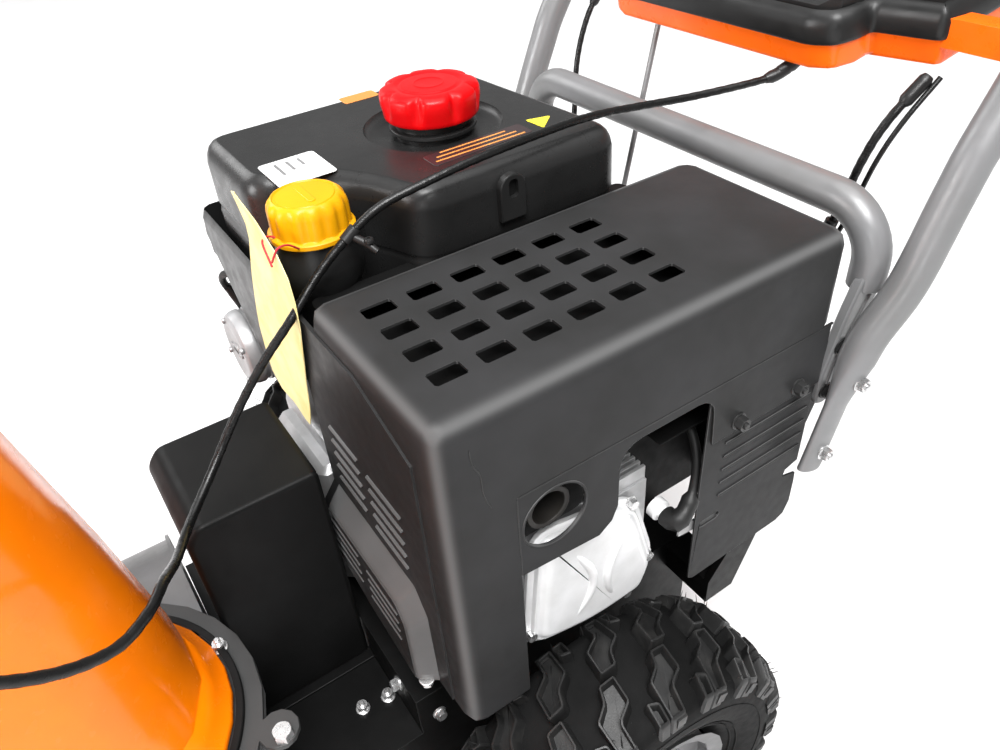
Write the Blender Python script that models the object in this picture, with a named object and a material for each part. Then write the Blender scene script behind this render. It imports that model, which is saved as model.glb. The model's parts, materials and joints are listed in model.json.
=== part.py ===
"""Two stage snowblower: every solid piece, modelled in Blender at its real size.

Frame: metres in the scene, but every number below is in millimetres and is
scaled by MM when a mesh is made. +Z is up, -Y is the front (the auger), +X is
the machine's left side, and Z = 0 is the ground it stands on.
"""
import math

import bmesh
import bpy
from mathutils import Matrix, Vector

MM = 0.001
GAP = 0.4                       # clearance kept between touching pieces

# ---- driving dimensions -----------------------------------------------------
WHEEL_R, WHEEL_IN, WHEEL_OUT = 162.0, 190.0, 295.0
AXLE_Y, AXLE_Z, AXLE_R = -28.0, WHEEL_R, 10.0
RIM_R, RIM_LIP_R = 76.0, 86.0

FRAME_X, FRAME_NOSE, FRAME_FRONT, FRAME_REAR, NOSE_Z = 150.0, -271.0, -160.0, 140.0, 227.0
FRAME_LOW, DECK_Z, SHEET = 95.0, 275.0, 3.0

DISC_Z, DISC_FACE_Y, DISC_R, FRICTION_R = 222.0, -142.0, 44.0, 40.0
HEX_Y, HEX_R, PINION_R = DISC_FACE_Y + GAP + FRICTION_R, 8.0, 25.0

CRANK_Z, CRANK_PULLEY_R, AUGER_PULLEY_R, TRACTION_PULLEY_R = 356.0, 20.0, 46.0, 40.0
AUGER_BELT_Y, TRACTION_BELT_Y, BELT_W = -224.0, -190.0, 11.0

IMPELLER_Z, DRUM_R, DRUM_REAR, DRUM_FRONT = 211.0, 148.0, -272.0, -490.0
AUGER_Y, AUGER_Z, AUGER_R, INTAKE_R = -618.0, 142.0, 120.0, 128.0
HALF_WIDTH, INTAKE_TOP, INTAKE_FRONT = 310.0, 530.0, -745.0

CHUTE_X, CHUTE_Y, COLLAR_Z, CHUTE_R = 99.0, -371.0, 360.0, 97.0
HINGE_Y, HINGE_Z = -427.0, 752.0

COVER_TOP, COVER_X0, COVER_X1, COVER_Y0, COVER_Y1 = 600.0, 52.0, 212.0, -141.0, 196.0
SEAM_Z, RETURN_Y, PANEL_X = 522.0, -90.0, 22.0
TANK_TOP = 640.0

LEG_X, TUBE_R, HANDLE_X, UPRIGHT_X = 205.0, 14.0, 236.0, 196.4
CROSS_Y, CROSS_Z, CROSS_BEND = 236.0, 594.0, 40.0
CONSOLE_X, CONSOLE_Y, CONSOLE_Z = -12.0, 274.0, 659.0

PAINT = {
    "charcoal": ((0.030, 0.031, 0.033), 0.42, 0.0),
    "orange": ((0.90, 0.23, 0.02), 0.30, 0.0),
    "silver_paint": ((0.45, 0.46, 0.47), 0.38, 0.2),
    "grey_paint": ((0.30, 0.31, 0.32), 0.40, 0.2),
    "steel": ((0.56, 0.57, 0.58), 0.35, 1.0),
    "dark_steel": ((0.12, 0.12, 0.13), 0.45, 1.0),
    "cast_aluminium": ((0.70, 0.71, 0.72), 0.40, 1.0),
    "rubber": ((0.020, 0.020, 0.021), 0.75, 0.0),
    "black_plastic": ((0.018, 0.018, 0.019), 0.38, 0.0),
    "red_plastic": ((0.72, 0.01, 0.015), 0.25, 0.0),
    "yellow_plastic": ((0.95, 0.62, 0.01), 0.28, 0.0),
    "bronze": ((0.55, 0.38, 0.18), 0.45, 1.0),
}


# ---- mesh makers ------------------------------------------------------------
def material(paint):
    """One Principled material for each paint, made once."""
    found = bpy.data.materials.get(paint)
    if found:
        return found
    colour, rough, metal = PAINT[paint]
    made = bpy.data.materials.new(paint)
    made.use_nodes = True
    shader = made.node_tree.nodes["Principled BSDF"]
    shader.inputs["Base Color"].default_value = (*colour, 1.0)
    shader.inputs["Roughness"].default_value = rough
    shader.inputs["Metallic"].default_value = metal
    return made


def finish_mesh(bm, name, paint, smooth=None):
    """Turn a bmesh drawn in millimetres into a named object in metres."""
    bmesh.ops.recalc_face_normals(bm, faces=bm.faces)
    bmesh.ops.scale(bm, vec=(MM, MM, MM), verts=bm.verts)
    mesh = bpy.data.meshes.new(name)
    bm.to_mesh(mesh)
    bm.free()
    mesh.materials.append(material(paint))
    piece = bpy.data.objects.new(name, mesh)
    bpy.context.scene.collection.objects.link(piece)
    if smooth:
        mesh.shade_smooth()
        mesh.set_sharp_from_angle(angle=math.radians(smooth))
    return piece


def box(name, low, high, paint="steel", bevel=0.0, segments=1):
    """A block between two corners, with its edges bevelled if asked."""
    bm = bmesh.new()
    bmesh.ops.create_cube(bm, size=1.0)
    size = [b - a for a, b in zip(low, high)]
    middle = [(a + b) / 2 for a, b in zip(low, high)]
    bmesh.ops.scale(bm, vec=size, verts=bm.verts)
    bmesh.ops.translate(bm, vec=middle, verts=bm.verts)
    if bevel:
        bmesh.ops.bevel(bm, geom=bm.edges[:], offset=bevel, segments=segments,
                        profile=0.5, affect="EDGES")
    return finish_mesh(bm, name, paint)


def place(axis, across, u, v):
    """A point from a plane outline (u, v) and its place along an axis."""
    return {"X": (across, u, v), "Y": (u, across, v), "Z": (u, v, across)}[axis]


def prism(name, outline, axis, start, end, paint="steel"):
    """A flat outline pushed along an axis; X uses (y, z), Y (x, z), Z (x, y)."""
    bm = bmesh.new()
    first = [bm.verts.new(place(axis, start, u, v)) for u, v in outline]
    last = [bm.verts.new(place(axis, end, u, v)) for u, v in outline]
    bm.faces.new(first)
    bm.faces.new(last)
    for i in range(len(outline)):
        j = (i + 1) % len(outline)
        bm.faces.new((first[i], first[j], last[j], last[i]))
    return finish_mesh(bm, name, paint)


def lathe(name, profile, centre, axis, steps, paint="steel", smooth=35):
    """Turn a closed profile of (radius, along) points about an axis."""
    bm = bmesh.new()
    rings = []
    for radius, along in profile:
        if radius < 1e-6:
            rings.append([bm.verts.new((0.0, 0.0, along))])
            continue
        turn = [2 * math.pi * k / steps for k in range(steps)]
        rings.append([bm.verts.new((radius * math.cos(a), radius * math.sin(a), along))
                      for a in turn])
    for i in range(len(rings)):
        here, after = rings[i], rings[(i + 1) % len(rings)]
        if len(here) == 1 and len(after) == 1:
            continue
        for k in range(steps):
            m = (k + 1) % steps
            if len(here) == 1:
                bm.faces.new((here[0], after[k], after[m]))
            elif len(after) == 1:
                bm.faces.new((here[k], here[m], after[0]))
            else:
                bm.faces.new((here[k], here[m], after[m], after[k]))
    turn = {"X": Matrix.Rotation(math.radians(90), 4, "Y"),
            "Y": Matrix.Rotation(math.radians(-90), 4, "X"), "Z": Matrix.Identity(4)}[axis]
    bmesh.ops.transform(bm, matrix=Matrix.Translation(Vector(centre)) @ turn, verts=bm.verts)
    return finish_mesh(bm, name, paint, smooth)


def rod(name, centre, axis, start, end, radius, paint="steel", steps=14, bevel=0.0):
    """A round bar along an axis, with its ends chamfered if asked."""
    profile = [(0, start), (radius - bevel, start), (radius, start + bevel),
               (radius, end - bevel), (radius - bevel, end), (0, end)]
    if not bevel:
        profile = [(0, start), (radius, start), (radius, end), (0, end)]
    base = {"X": (0, *centre), "Y": (centre[0], 0, centre[1]), "Z": (*centre, 0)}[axis]
    return lathe(name, profile, base, axis, steps, paint)


def smooth_path(points, step):
    """Points about step apart on a Catmull-Rom curve through the given ones."""
    knots = [Vector(p) for p in points]
    ends = [2 * knots[0] - knots[1]] + knots + [2 * knots[-1] - knots[-2]]
    path = []
    for i in range(len(knots) - 1):
        a, b, c, d = ends[i:i + 4]
        count = max(1, round((c - b).length / step))
        for k in range(count):
            t = k / count
            path.append(0.5 * ((2 * b) + (c - a) * t + (2 * a - 5 * b + 4 * c - d) * t ** 2
                               + (3 * b - a - 3 * c + d) * t ** 3))
    return path + [knots[-1]]


def sweep(name, path, radius, sides, paint="steel"):
    """A round bar along a path, capped at both ends."""
    bm = bmesh.new()
    rings, normal = [], None
    for i, point in enumerate(path):
        before, after = path[max(i - 1, 0)], path[min(i + 1, len(path) - 1)]
        along = (after - before).normalized()
        if normal is None:
            normal = along.orthogonal().normalized()
        normal = (normal - along * normal.dot(along)).normalized()
        side = along.cross(normal)
        rings.append([bm.verts.new(point + radius * (math.cos(a) * normal + math.sin(a) * side))
                      for a in (2 * math.pi * k / sides for k in range(sides))])
    for here, after in zip(rings, rings[1:]):
        for k in range(sides):
            m = (k + 1) % sides
            bm.faces.new((here[k], here[m], after[m], after[k]))
    bm.faces.new(rings[0])
    bm.faces.new(rings[-1])
    return finish_mesh(bm, name, paint, 50)


def cord(name, points, radius, paint="black_plastic", step=None, sides=2):
    """A held cable: a curve with a round bevel and filled caps."""
    path = smooth_path(points, step or 6 * radius)
    curve = bpy.data.curves.new(name, "CURVE")
    curve.dimensions = "3D"
    curve.bevel_depth = radius * MM
    curve.bevel_resolution = sides
    curve.use_fill_caps = True
    spline = curve.splines.new("POLY")
    spline.points.add(len(path) - 1)
    for knot, point in zip(spline.points, path):
        knot.co = (*(point * MM), 1.0)
    curve.materials.append(material(paint))
    piece = bpy.data.objects.new(name, curve)
    bpy.context.scene.collection.objects.link(piece)
    return piece


def arc(centre, radius, start, end, count):
    """Points on an arc, angles in degrees."""
    turn = [math.radians(start + (end - start) * k / count) for k in range(count + 1)]
    return [(centre[0] + radius * math.cos(a), centre[1] + radius * math.sin(a)) for a in turn]


def rounded(low, high, radius, count=3):
    """A rectangle outline with round corners."""
    corners = ((high[0] - radius, high[1] - radius, 0), (low[0] + radius, high[1] - radius, 90),
               (low[0] + radius, low[1] + radius, 180), (high[0] - radius, low[1] + radius, 270))
    points = []
    for x, y, start in corners:
        points += arc((x, y), radius, start, start + 90, count)
    return points


def combine(piece, tools, operation):
    """Apply an exact Boolean of each tool to the piece, and drop the tools."""
    for tool in tools:
        change = piece.modifiers.new(operation.lower(), "BOOLEAN")
        change.operation = operation
        change.solver = "EXACT"
        change.object = tool
        graph = bpy.context.evaluated_depsgraph_get()
        mesh = bpy.data.meshes.new_from_object(piece.evaluated_get(graph))
        piece.modifiers.clear()
        piece.data = mesh
        bpy.data.objects.remove(tool)
    return piece


def cut(piece, *tools):
    return combine(piece, tools, "DIFFERENCE")


def join(piece, *tools):
    return combine(piece, tools, "UNION")


def tidy(piece, smooth=35):
    """Merge stray points left by Booleans and set the shading."""
    bm = bmesh.new()
    bm.from_mesh(piece.data)
    bmesh.ops.remove_doubles(bm, verts=bm.verts, dist=0.00002)
    bmesh.ops.dissolve_limit(bm, angle_limit=math.radians(0.5), verts=bm.verts, edges=bm.edges)
    bm.to_mesh(piece.data)
    bm.free()
    piece.data.shade_smooth()
    piece.data.set_sharp_from_angle(angle=math.radians(smooth))
    return piece


def pivot(piece, point):
    """Put the piece's origin on its joint's axis."""
    here = Vector(point) * MM
    piece.data.transform(Matrix.Translation(-here))
    piece.location = here
    return piece


def tilt(piece, centre, axis, degrees):
    """Turn a finished mesh about a point."""
    here = Vector(centre) * MM
    turn = Matrix.Rotation(math.radians(degrees), 4, axis)
    piece.data.transform(Matrix.Translation(here) @ turn @ Matrix.Translation(-here))
    return piece


# ---- chassis and drive ------------------------------------------------------
def make_chassis():
    """Folded sheet box, open below, with the two uprights for the handles."""
    x, low, top, inner = FRAME_X, FRAME_LOW, DECK_Z, DECK_Z - SHEET
    fold = [(-x, low), (-x, top), (x, top), (x, low),
            (x - SHEET, low), (x - SHEET, inner), (SHEET - x, inner), (SHEET - x, low)]
    frame = prism("tractor_frame", fold, "Y", FRAME_FRONT, FRAME_REAR, "charcoal")
    parts = [box("front", (-x + 1, FRAME_FRONT, low), (x - 1, FRAME_FRONT + SHEET, top - 1)),
             box("cross", (-UPRIGHT_X - 6, 112, 240), (UPRIGHT_X + 6, 141, 268))]
    for sign in (-1, 1):
        reach = sorted((sign * 57, sign * x))
        parts.append(box("deck", (reach[0], FRAME_NOSE, NOSE_Z - SHEET),
                         (reach[1], FRAME_FRONT + 1, NOSE_Z)))
        wall = sorted((sign * (x - SHEET), sign * x))
        parts.append(box("wall", (wall[0], FRAME_NOSE, low + 30),
                         (wall[1], FRAME_FRONT + 1, NOSE_Z)))
    side = [(112, 240), (146, 240), (170, 300), (192, 372), (213, 430), (213, 450), (198, 452),
            (180, 400), (148, 320), (112, 268)]
    for sign in (-1, 1):
        parts.append(prism("upright", side, "X", sign * UPRIGHT_X, sign * (UPRIGHT_X + 6)))
    join(frame, *parts)
    holes = [rod("hole", (AXLE_Y, AXLE_Z), "X", -x - 5, x + 5, AXLE_R + GAP, steps=20),
             rod("hole", (HEX_Y, DISC_Z), "X", -x - 5, x + 5, HEX_R + GAP, steps=20),
             rod("hole", (0, DISC_Z), "Y", FRAME_FRONT - 5, FRAME_FRONT + 9, 8 + GAP, steps=20)]
    return tidy(cut(frame, *holes))


def make_axle():
    """Wheel axle with its drive gear."""
    reach = math.hypot(HEX_Y - AXLE_Y, DISC_Z - AXLE_Z)
    gear_r = reach - PINION_R - GAP
    profile = [(0, -303), (AXLE_R - 1, -303), (AXLE_R, -302), (AXLE_R, 112), (gear_r, 112),
               (gear_r, 124), (AXLE_R, 124), (AXLE_R, 302), (AXLE_R - 1, 303), (0, 303)]
    axle = lathe("axle_shaft", profile, (0, AXLE_Y, AXLE_Z), "X", 24, "steel")
    return pivot(axle, (0, AXLE_Y, AXLE_Z))


def make_wheels():
    """Pressed steel rims and low pressure tyres."""
    middle = (WHEEL_IN + WHEEL_OUT) / 2
    half = (WHEEL_OUT - WHEEL_IN) / 2
    hub = AXLE_R + GAP
    for side, sign in (("left", 1), ("right", -1)):
        centre = (sign * middle, AXLE_Y, AXLE_Z)
        profile = [(hub, -28), (21, -28), (21, 16), (RIM_R - 4, 24), (RIM_R - 4, -40),
                   (RIM_LIP_R, -44), (RIM_R, -36), (RIM_R, 36), (RIM_LIP_R, 44),
                   (RIM_R - 4, 40), (RIM_R - 4, 28), (21, 20), (21, 50), (hub, 50)]
        rim = lathe("rim_" + side, [(r, sign * a) for r, a in profile], centre, "X", 22,
                    "silver_paint")
        pivot(rim, centre)
        tread = [(118, half), (144, half - 4), (WHEEL_R - 4, half - 16), (WHEEL_R, 14)]
        inside = [(146, half - 16)]
        outer = [(r, a) for r, a in tread] + [(r, -a) for r, a in reversed(tread)]
        inner = [(r, -a) for r, a in inside] + [(r, a) for r, a in reversed(inside)]
        bead = [(RIM_R + GAP, 32), (RIM_LIP_R, 39)]
        loop = outer + [(r, -a) for r, a in reversed(bead)] + inner + bead
        tyre = lathe("tyre_" + side, loop, centre, "X", 32, "rubber", 60)
        pivot(tyre, centre)


def make_friction_drive():
    """Friction disc, the wheel that runs on its face, and the hexagon shaft."""
    y = DISC_FACE_Y
    pulley = TRACTION_PULLEY_R
    back, front = TRACTION_BELT_Y + 9, TRACTION_BELT_Y - 9
    groove = [(pulley, back), (pulley - 9, TRACTION_BELT_Y + 4), (pulley - 9, TRACTION_BELT_Y - 4),
              (pulley, front)]
    profile = [(0, y), (DISC_R, y), (DISC_R, y - 7), (14, y - 7), (14, y - 13), (8, y - 13),
               (8, back + 1), (8, back)] + groove + [(12, front), (12, front - 3), (0, front - 3)]
    disc = lathe("friction_disc", [(r, a) for r, a in profile], (0, 0, DISC_Z), "Y", 20, "steel")
    pivot(disc, (0, y, DISC_Z))

    shaft = rod("hex_shaft", (HEX_Y, DISC_Z), "X", -153, 153, HEX_R, "steel", steps=6)
    pinion = rod("pinion", (HEX_Y, DISC_Z), "X", 112, 124, PINION_R - GAP, steps=24)
    join(shaft, pinion)
    pivot(tidy(shaft), (0, HEX_Y, DISC_Z))

    wheel = lathe("friction_wheel", [(16, -14), (16, -5), (FRICTION_R, -5), (FRICTION_R, 5),
                                     (16, 5), (16, 22), (HEX_R + 1, 22), (HEX_R + 1, -14)],
                  (0, HEX_Y, DISC_Z), "X", 20, "rubber")
    pivot(wheel, (0, HEX_Y, DISC_Z))


def belt_outline(low_z, low_r, high_z, high_r):
    """A belt's loop round two pulleys on X = 0, as (x, z) points."""
    reach = high_z - low_z
    lean = math.degrees(math.asin((low_r - high_r) / reach))
    return (arc((0, high_z), high_r, lean, 180 - lean, 10)
            + arc((0, low_z), low_r, 180 - lean, 360 + lean, 14))


def make_belts():
    """Crankshaft with its double pulley, both belts and the auger pulley."""
    r = CRANK_PULLEY_R
    shaft = [(0, 60), (14, 60), (14, -152), (11, -152), (11, -178)]
    stack = []
    for y in (TRACTION_BELT_Y, AUGER_BELT_Y):
        stack += [(r + 4, y + 9), (r - 6, y + 4), (r - 6, y - 4), (r + 4, y - 9)]
    end = [(11, AUGER_BELT_Y - 9), (11, -239), (0, -239)]
    crank = lathe("crankshaft", shaft + stack + end, (0, 0, CRANK_Z), "Y", 18, "steel")
    pivot(crank, (0, AUGER_BELT_Y, CRANK_Z))

    for name, y, z, big in (("traction_belt", TRACTION_BELT_Y, DISC_Z, TRACTION_PULLEY_R),
                            ("auger_belt", AUGER_BELT_Y, IMPELLER_Z, AUGER_PULLEY_R)):
        clear = 4.5
        belt = prism(name, belt_outline(z, big + 1.5 + clear, CRANK_Z, r + 5 + clear), "Y",
                     y - BELT_W / 2, y + BELT_W / 2, "rubber")
        hole = prism("hole", belt_outline(z, big + 1.5, CRANK_Z, r + 5), "Y", y - 20, y + 20)
        tidy(cut(belt, hole), 40)

    big, y = AUGER_PULLEY_R, AUGER_BELT_Y
    profile = [(10.4, y + 9), (big, y + 9), (big - 9, y + 4), (big - 9, y - 4), (big, y - 9),
               (18, y - 9), (18, y - 14), (10.4, y - 14)]
    pulley = lathe("auger_pulley", profile, (0, 0, IMPELLER_Z), "Y", 20, "steel")
    pivot(pulley, (0, y, IMPELLER_Z))


def make_belt_cover():
    """Moulded cover over the belts, open below and behind."""
    def side(grow):
        """Outline in (y, z), moved inwards by grow."""
        return [(-160 + 9 * (grow > 0), 230 - 9 * (grow > 0)), (-160 + 9 * (grow > 0), 460 - grow),
                (-252 + 0.4 * grow, 460 - grow), (-263 + grow, 447 - 0.4 * grow),
                (-263 + grow, 230 - 9 * (grow > 0))]
    shell = prism("belt_cover", side(0), "X", -53, 53, "black_plastic")
    return tidy(cut(shell, prism("hollow", side(2.5), "X", -50.5, 50.5)))


# ---- snow head --------------------------------------------------------------
def intake_profile(grow):
    """The auger bucket from the side, (y, z), lower lip first."""
    r = INTAKE_R + grow
    bottom = arc((AUGER_Y, AUGER_Z), r, -100, 0, 8)
    top = [(DRUM_FRONT + grow, 345), (DRUM_FRONT - 14 + grow, 375),
           (DRUM_FRONT - 18 + grow, 470 + grow * 0.4), (-570 + grow * 0.3, 518 + grow),
           (-660, INTAKE_TOP - SHEET + grow)]
    return bottom + top


def make_auger_housing():
    """Bucket: rolled back sheet, two side plates, and the impeller opening."""
    inner = intake_profile(0)
    outer = intake_profile(SHEET)
    back = prism("auger_housing", outer + inner[::-1], "X", -HALF_WIDTH + 1, HALF_WIDTH - 1,
                 "orange")
    low, front = 14.0, INTAKE_FRONT
    plate = ([(-645, low)] + arc((AUGER_Y, AUGER_Z), INTAKE_R + SHEET, -100, 0, 8)
             + intake_profile(SHEET)[9:] + [(-684, INTAKE_TOP), (front + 12, 300), (front, 200),
                                            (front + 10, 90), (-705, low)])
    plates = [prism("side", plate, "X", s * (HALF_WIDTH - SHEET), s * HALF_WIDTH)
              for s in (-1, 1)]
    join(back, *plates)
    tools = [rod("hole", (0, IMPELLER_Z), "Y", -520, -460, DRUM_R - 2, steps=32)]
    for s in (-1, 1):
        tools.append(rod("hole", (AUGER_Y, AUGER_Z), "X", s * 300, s * 320, 11, steps=20))
    return tidy(cut(back, *tools))


def make_impeller_housing():
    """Drum round the impeller with its rear wall, discharge neck and collar."""
    wall = 3.0
    z = IMPELLER_Z
    shell = [(10.8, DRUM_REAR), (DRUM_R + 4, DRUM_REAR), (DRUM_R + 4, DRUM_REAR - 3),
             (DRUM_R, DRUM_REAR - 3), (DRUM_R, DRUM_FRONT + 3.4), (DRUM_R - wall, DRUM_FRONT + 3.4),
             (DRUM_R - wall, DRUM_REAR - wall), (24, DRUM_REAR - wall), (24, DRUM_REAR - 14),
             (10.8, DRUM_REAR - 14)]
    drum = lathe("impeller_housing", shell, (0, 0, z), "Y", 32, "silver_paint")
    neck = rod("neck", (CHUTE_X, CHUTE_Y), "Z", 262, COLLAR_Z - 3, CHUTE_R + 2, steps=28)
    flange = lathe("flange", [(CHUTE_R - 3, COLLAR_Z - 5), (CHUTE_R + 20, COLLAR_Z - 5),
                              (CHUTE_R + 20, COLLAR_Z), (CHUTE_R - 3, COLLAR_Z)],
                   (CHUTE_X, CHUTE_Y, 0), "Z", 28)
    inside = rod("inside", (0, z), "Y", DRUM_REAR - 1, DRUM_FRONT - 40, DRUM_R - 1.2, steps=32)
    bore = rod("bore", (CHUTE_X, CHUTE_Y), "Z", 265, COLLAR_Z + 20, CHUTE_R - 1, steps=28)
    join(drum, cut(neck, inside), flange)
    return tidy(cut(drum, bore))


def spiral(name, hand, start, end, turns, inner_r, outer_r, thick, steps, phase):
    """A helical flight about the auger axis."""
    bm = bmesh.new()
    rows = []
    for i in range(steps + 1):
        t = i / steps
        a = phase + hand * 2 * math.pi * turns * t
        x = start + (end - start) * t
        row = []
        for dx in (-thick / 2, thick / 2):
            for r in (inner_r, outer_r):
                row.append(bm.verts.new((x + dx, AUGER_Y + r * math.cos(a),
                                         AUGER_Z + r * math.sin(a))))
        rows.append(row)
    for here, after in zip(rows, rows[1:]):
        for p, q in ((0, 1), (1, 3), (3, 2), (2, 0)):
            bm.faces.new((here[p], here[q], after[q], after[p]))
    for row in (rows[0], rows[-1]):
        bm.faces.new((row[0], row[1], row[3], row[2]))
    return finish_mesh(bm, name, "orange")


def make_augers():
    """Gearbox, cross shaft and the two ribbon augers on their tubes."""
    gearbox = lathe("auger_gearbox", [(10.5, -34), (30, -34), (34, -30), (52, -22), (56, -8),
                                      (56, 8), (52, 22), (34, 30), (30, 34), (10.5, 34)],
                    (0, AUGER_Y, AUGER_Z), "X", 16, "cast_aluminium")
    snout = lathe("snout", [(0, 30), (26, 30), (26, 78), (17, 96), (0, 96)],
                  (0, AUGER_Y, IMPELLER_Z), "Y", 16)
    web = box("web", (-14, AUGER_Y + 2, AUGER_Z + 20), (14, AUGER_Y + 60, IMPELLER_Z + 14), bevel=4)
    hole = rod("hole", (0, IMPELLER_Z), "Y", AUGER_Y + 64, AUGER_Y + 120, 10.5, steps=20)
    bore = rod("bore", (AUGER_Y, AUGER_Z), "X", -60, 60, 10.5, steps=20)
    join(gearbox, snout, web)
    tidy(cut(gearbox, hole, bore))

    shaft = rod("auger_shaft", (AUGER_Y, AUGER_Z), "X", -318, 318, 10, "steel", 20, bevel=1)
    pivot(shaft, (0, AUGER_Y, AUGER_Z))

    for side, sign in (("left", 1), ("right", -1)):
        tube = lathe("auger_" + side, [(10.4, sign * 38), (16, sign * 38), (16, sign * 303),
                                       (10.4, sign * 303)],
                     (0, AUGER_Y, AUGER_Z), "X", 20, "orange")
        pieces = []
        for phase in (0, math.pi):
            pieces.append(spiral("flight", -sign, sign * 48, sign * 290, 1.25, 88, AUGER_R, 5, 20,
                                 phase))
            for k in range(3):
                t = 0.06 + 0.44 * k
                a = phase - sign * 2 * math.pi * 1.25 * t
                arm = box("arm", (sign * (48 + 242 * t) - 4, -5, 12),
                          (sign * (48 + 242 * t) + 4, 5, AUGER_R - 6))
                turn = Matrix.Rotation(a - math.pi / 2, 4, "X")
                move = Matrix.Translation(Vector((0, AUGER_Y, AUGER_Z)) * MM)
                arm.data.transform(move @ turn)
                pieces.append(arm)
        join(tube, *pieces)
        pivot(tidy(tube), (0, AUGER_Y, AUGER_Z))


def make_impeller():
    """Four bladed impeller and the shaft that carries it."""
    z, r = IMPELLER_Z, DRUM_R - 3 - 6
    impeller = lathe("impeller", [(0, -214), (10, -214), (10, -298), (24, -298), (24, -432),
                                  (10, -432), (10, -548), (0, -548)],
                     (0, 0, z), "Y", 20, "orange")
    blades = []
    for k in range(4):
        blade = box("blade", (-2.5, -430, z + 14), (2.5, -302, z + r))
        lip = box("lip", (-16, -430, z + r - 26), (2.5, -302, z + r - 22))
        join(blade, lip)
        blades.append(tilt(blade, (0, 0, z), "Y", 90 * k + 20))
    join(impeller, *blades)
    return pivot(tidy(impeller), (0, -300, z))


def make_ground_parts():
    """Skid shoes bolted to the side plates and the scraper bar."""
    for side, sign in (("left", 1), ("right", -1)):
        x0, x1 = sorted((sign * (HALF_WIDTH + GAP), sign * (HALF_WIDTH + 6)))
        outline = [(-724, 12), (-712, 0), (-572, 0), (-560, 12), (-560, 40), (-590, 92),
                   (-694, 92), (-724, 40)]
        shoe = prism("skid_shoe_" + side, outline, "X", x0, x1, "dark_steel")
        slots = [box("slot", (x0 - 5, y - 5, 46), (x1 + 5, y + 5, 80)) for y in (-670, -614)]
        tidy(cut(shoe, *slots))
    box("scraper_bar", (-306, -656, 4), (306, -632, 10.4), "dark_steel", bevel=0.8)


# ---- chute ------------------------------------------------------------------
def u_section(back, half, front, thick, count=7):
    """A U seen from above, open to -Y: outer line then inner line back."""
    def line(r, tip):
        return ([(r, tip)] + arc((0, 0), r, 0, 180, count) + [(-r, tip)])
    outer = [(x * half, y * back if y > 0 else y) for x, y in
             [(p[0], p[1]) for p in line(1, front)]]
    inner = [(x * (half - thick), y * (back - thick) if y > 0 else y) for x, y in
             [(p[0], p[1]) for p in line(1, front)]]
    return outer + inner[::-1]


def loft(name, sections, paint):
    """Join matching outlines, each a list of 3-D points, into one closed solid."""
    bm = bmesh.new()
    rings = [[bm.verts.new(p) for p in ring] for ring in sections]
    for here, after in zip(rings, rings[1:]):
        for k in range(len(here)):
            m = (k + 1) % len(here)
            bm.faces.new((here[k], here[m], after[m], after[k]))
    bm.faces.new(rings[0])
    bm.faces.new(rings[-1])
    return finish_mesh(bm, name, paint, 40)


def make_chute():
    """Turning base, the open fronted chute and the tilting deflector."""
    ring = lathe("chute_ring", [(CHUTE_R - 9, COLLAR_Z + GAP), (CHUTE_R + 20, COLLAR_Z + GAP),
                                (CHUTE_R + 20, COLLAR_Z + 5), (CHUTE_R + 7, COLLAR_Z + 5),
                                (CHUTE_R + 7, COLLAR_Z + 9), (CHUTE_R + 2.5, COLLAR_Z + 9),
                                (CHUTE_R + 2.5, COLLAR_Z + 5), (CHUTE_R - 9, COLLAR_Z + 5)],
                 (CHUTE_X, CHUTE_Y, 0), "Z", 28, "silver_paint")
    lobes = []
    for angle, reach in ((61, 128), (180, 128), (300, 119)):
        a = math.radians(angle)
        centre = (CHUTE_X + reach * math.cos(a), CHUTE_Y + reach * math.sin(a))
        lobes.append(rod("lobe", centre, "Z", COLLAR_Z + GAP, COLLAR_Z + 5, 14, steps=12))
    tidy(join(ring, *lobes))

    r = CHUTE_R
    base = lathe("chute", [(r - 16, COLLAR_Z + 1), (r - 10, COLLAR_Z + 1),
                           (r - 10, COLLAR_Z + 5 + GAP), (r, COLLAR_Z + 5 + GAP),
                           (r + 1, COLLAR_Z + 9), (r, COLLAR_Z + 14), (r - 8, COLLAR_Z + 20),
                           (r - 12, COLLAR_Z + 36), (r - 16, COLLAR_Z + 36)],
                 (CHUTE_X, CHUTE_Y, 0), "Z", 28, "orange")
    rows = []
    for z, shift, half, front in ((COLLAR_Z + 22, 0, 84.5, -60), (430, 0, 82, -60),
                                  (520, -8, 78, -58), (640, -26, 76, -54), (752, -56, 74, -44)):
        rows.append([(CHUTE_X + x, CHUTE_Y + y + shift, z)
                     for x, y in u_section(half, half, front, 3)])
    join(base, loft("wall", rows, "orange"))
    pivot(tidy(base, 40), (CHUTE_X, CHUTE_Y, COLLAR_Z))

    rows = []
    for z, y, half, front in ((730, -418, 80, -30), (785, -436, 80, -58), (838, -464, 79, -64),
                              (885, -509, 78, -56)):
        rows.append([(CHUTE_X + x, y + v, z) for x, v in u_section(half, half, front, 3)])
    deflector = loft("chute_deflector", rows, "orange")
    pivot(deflector, (CHUTE_X, HINGE_Y, HINGE_Z))


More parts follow.
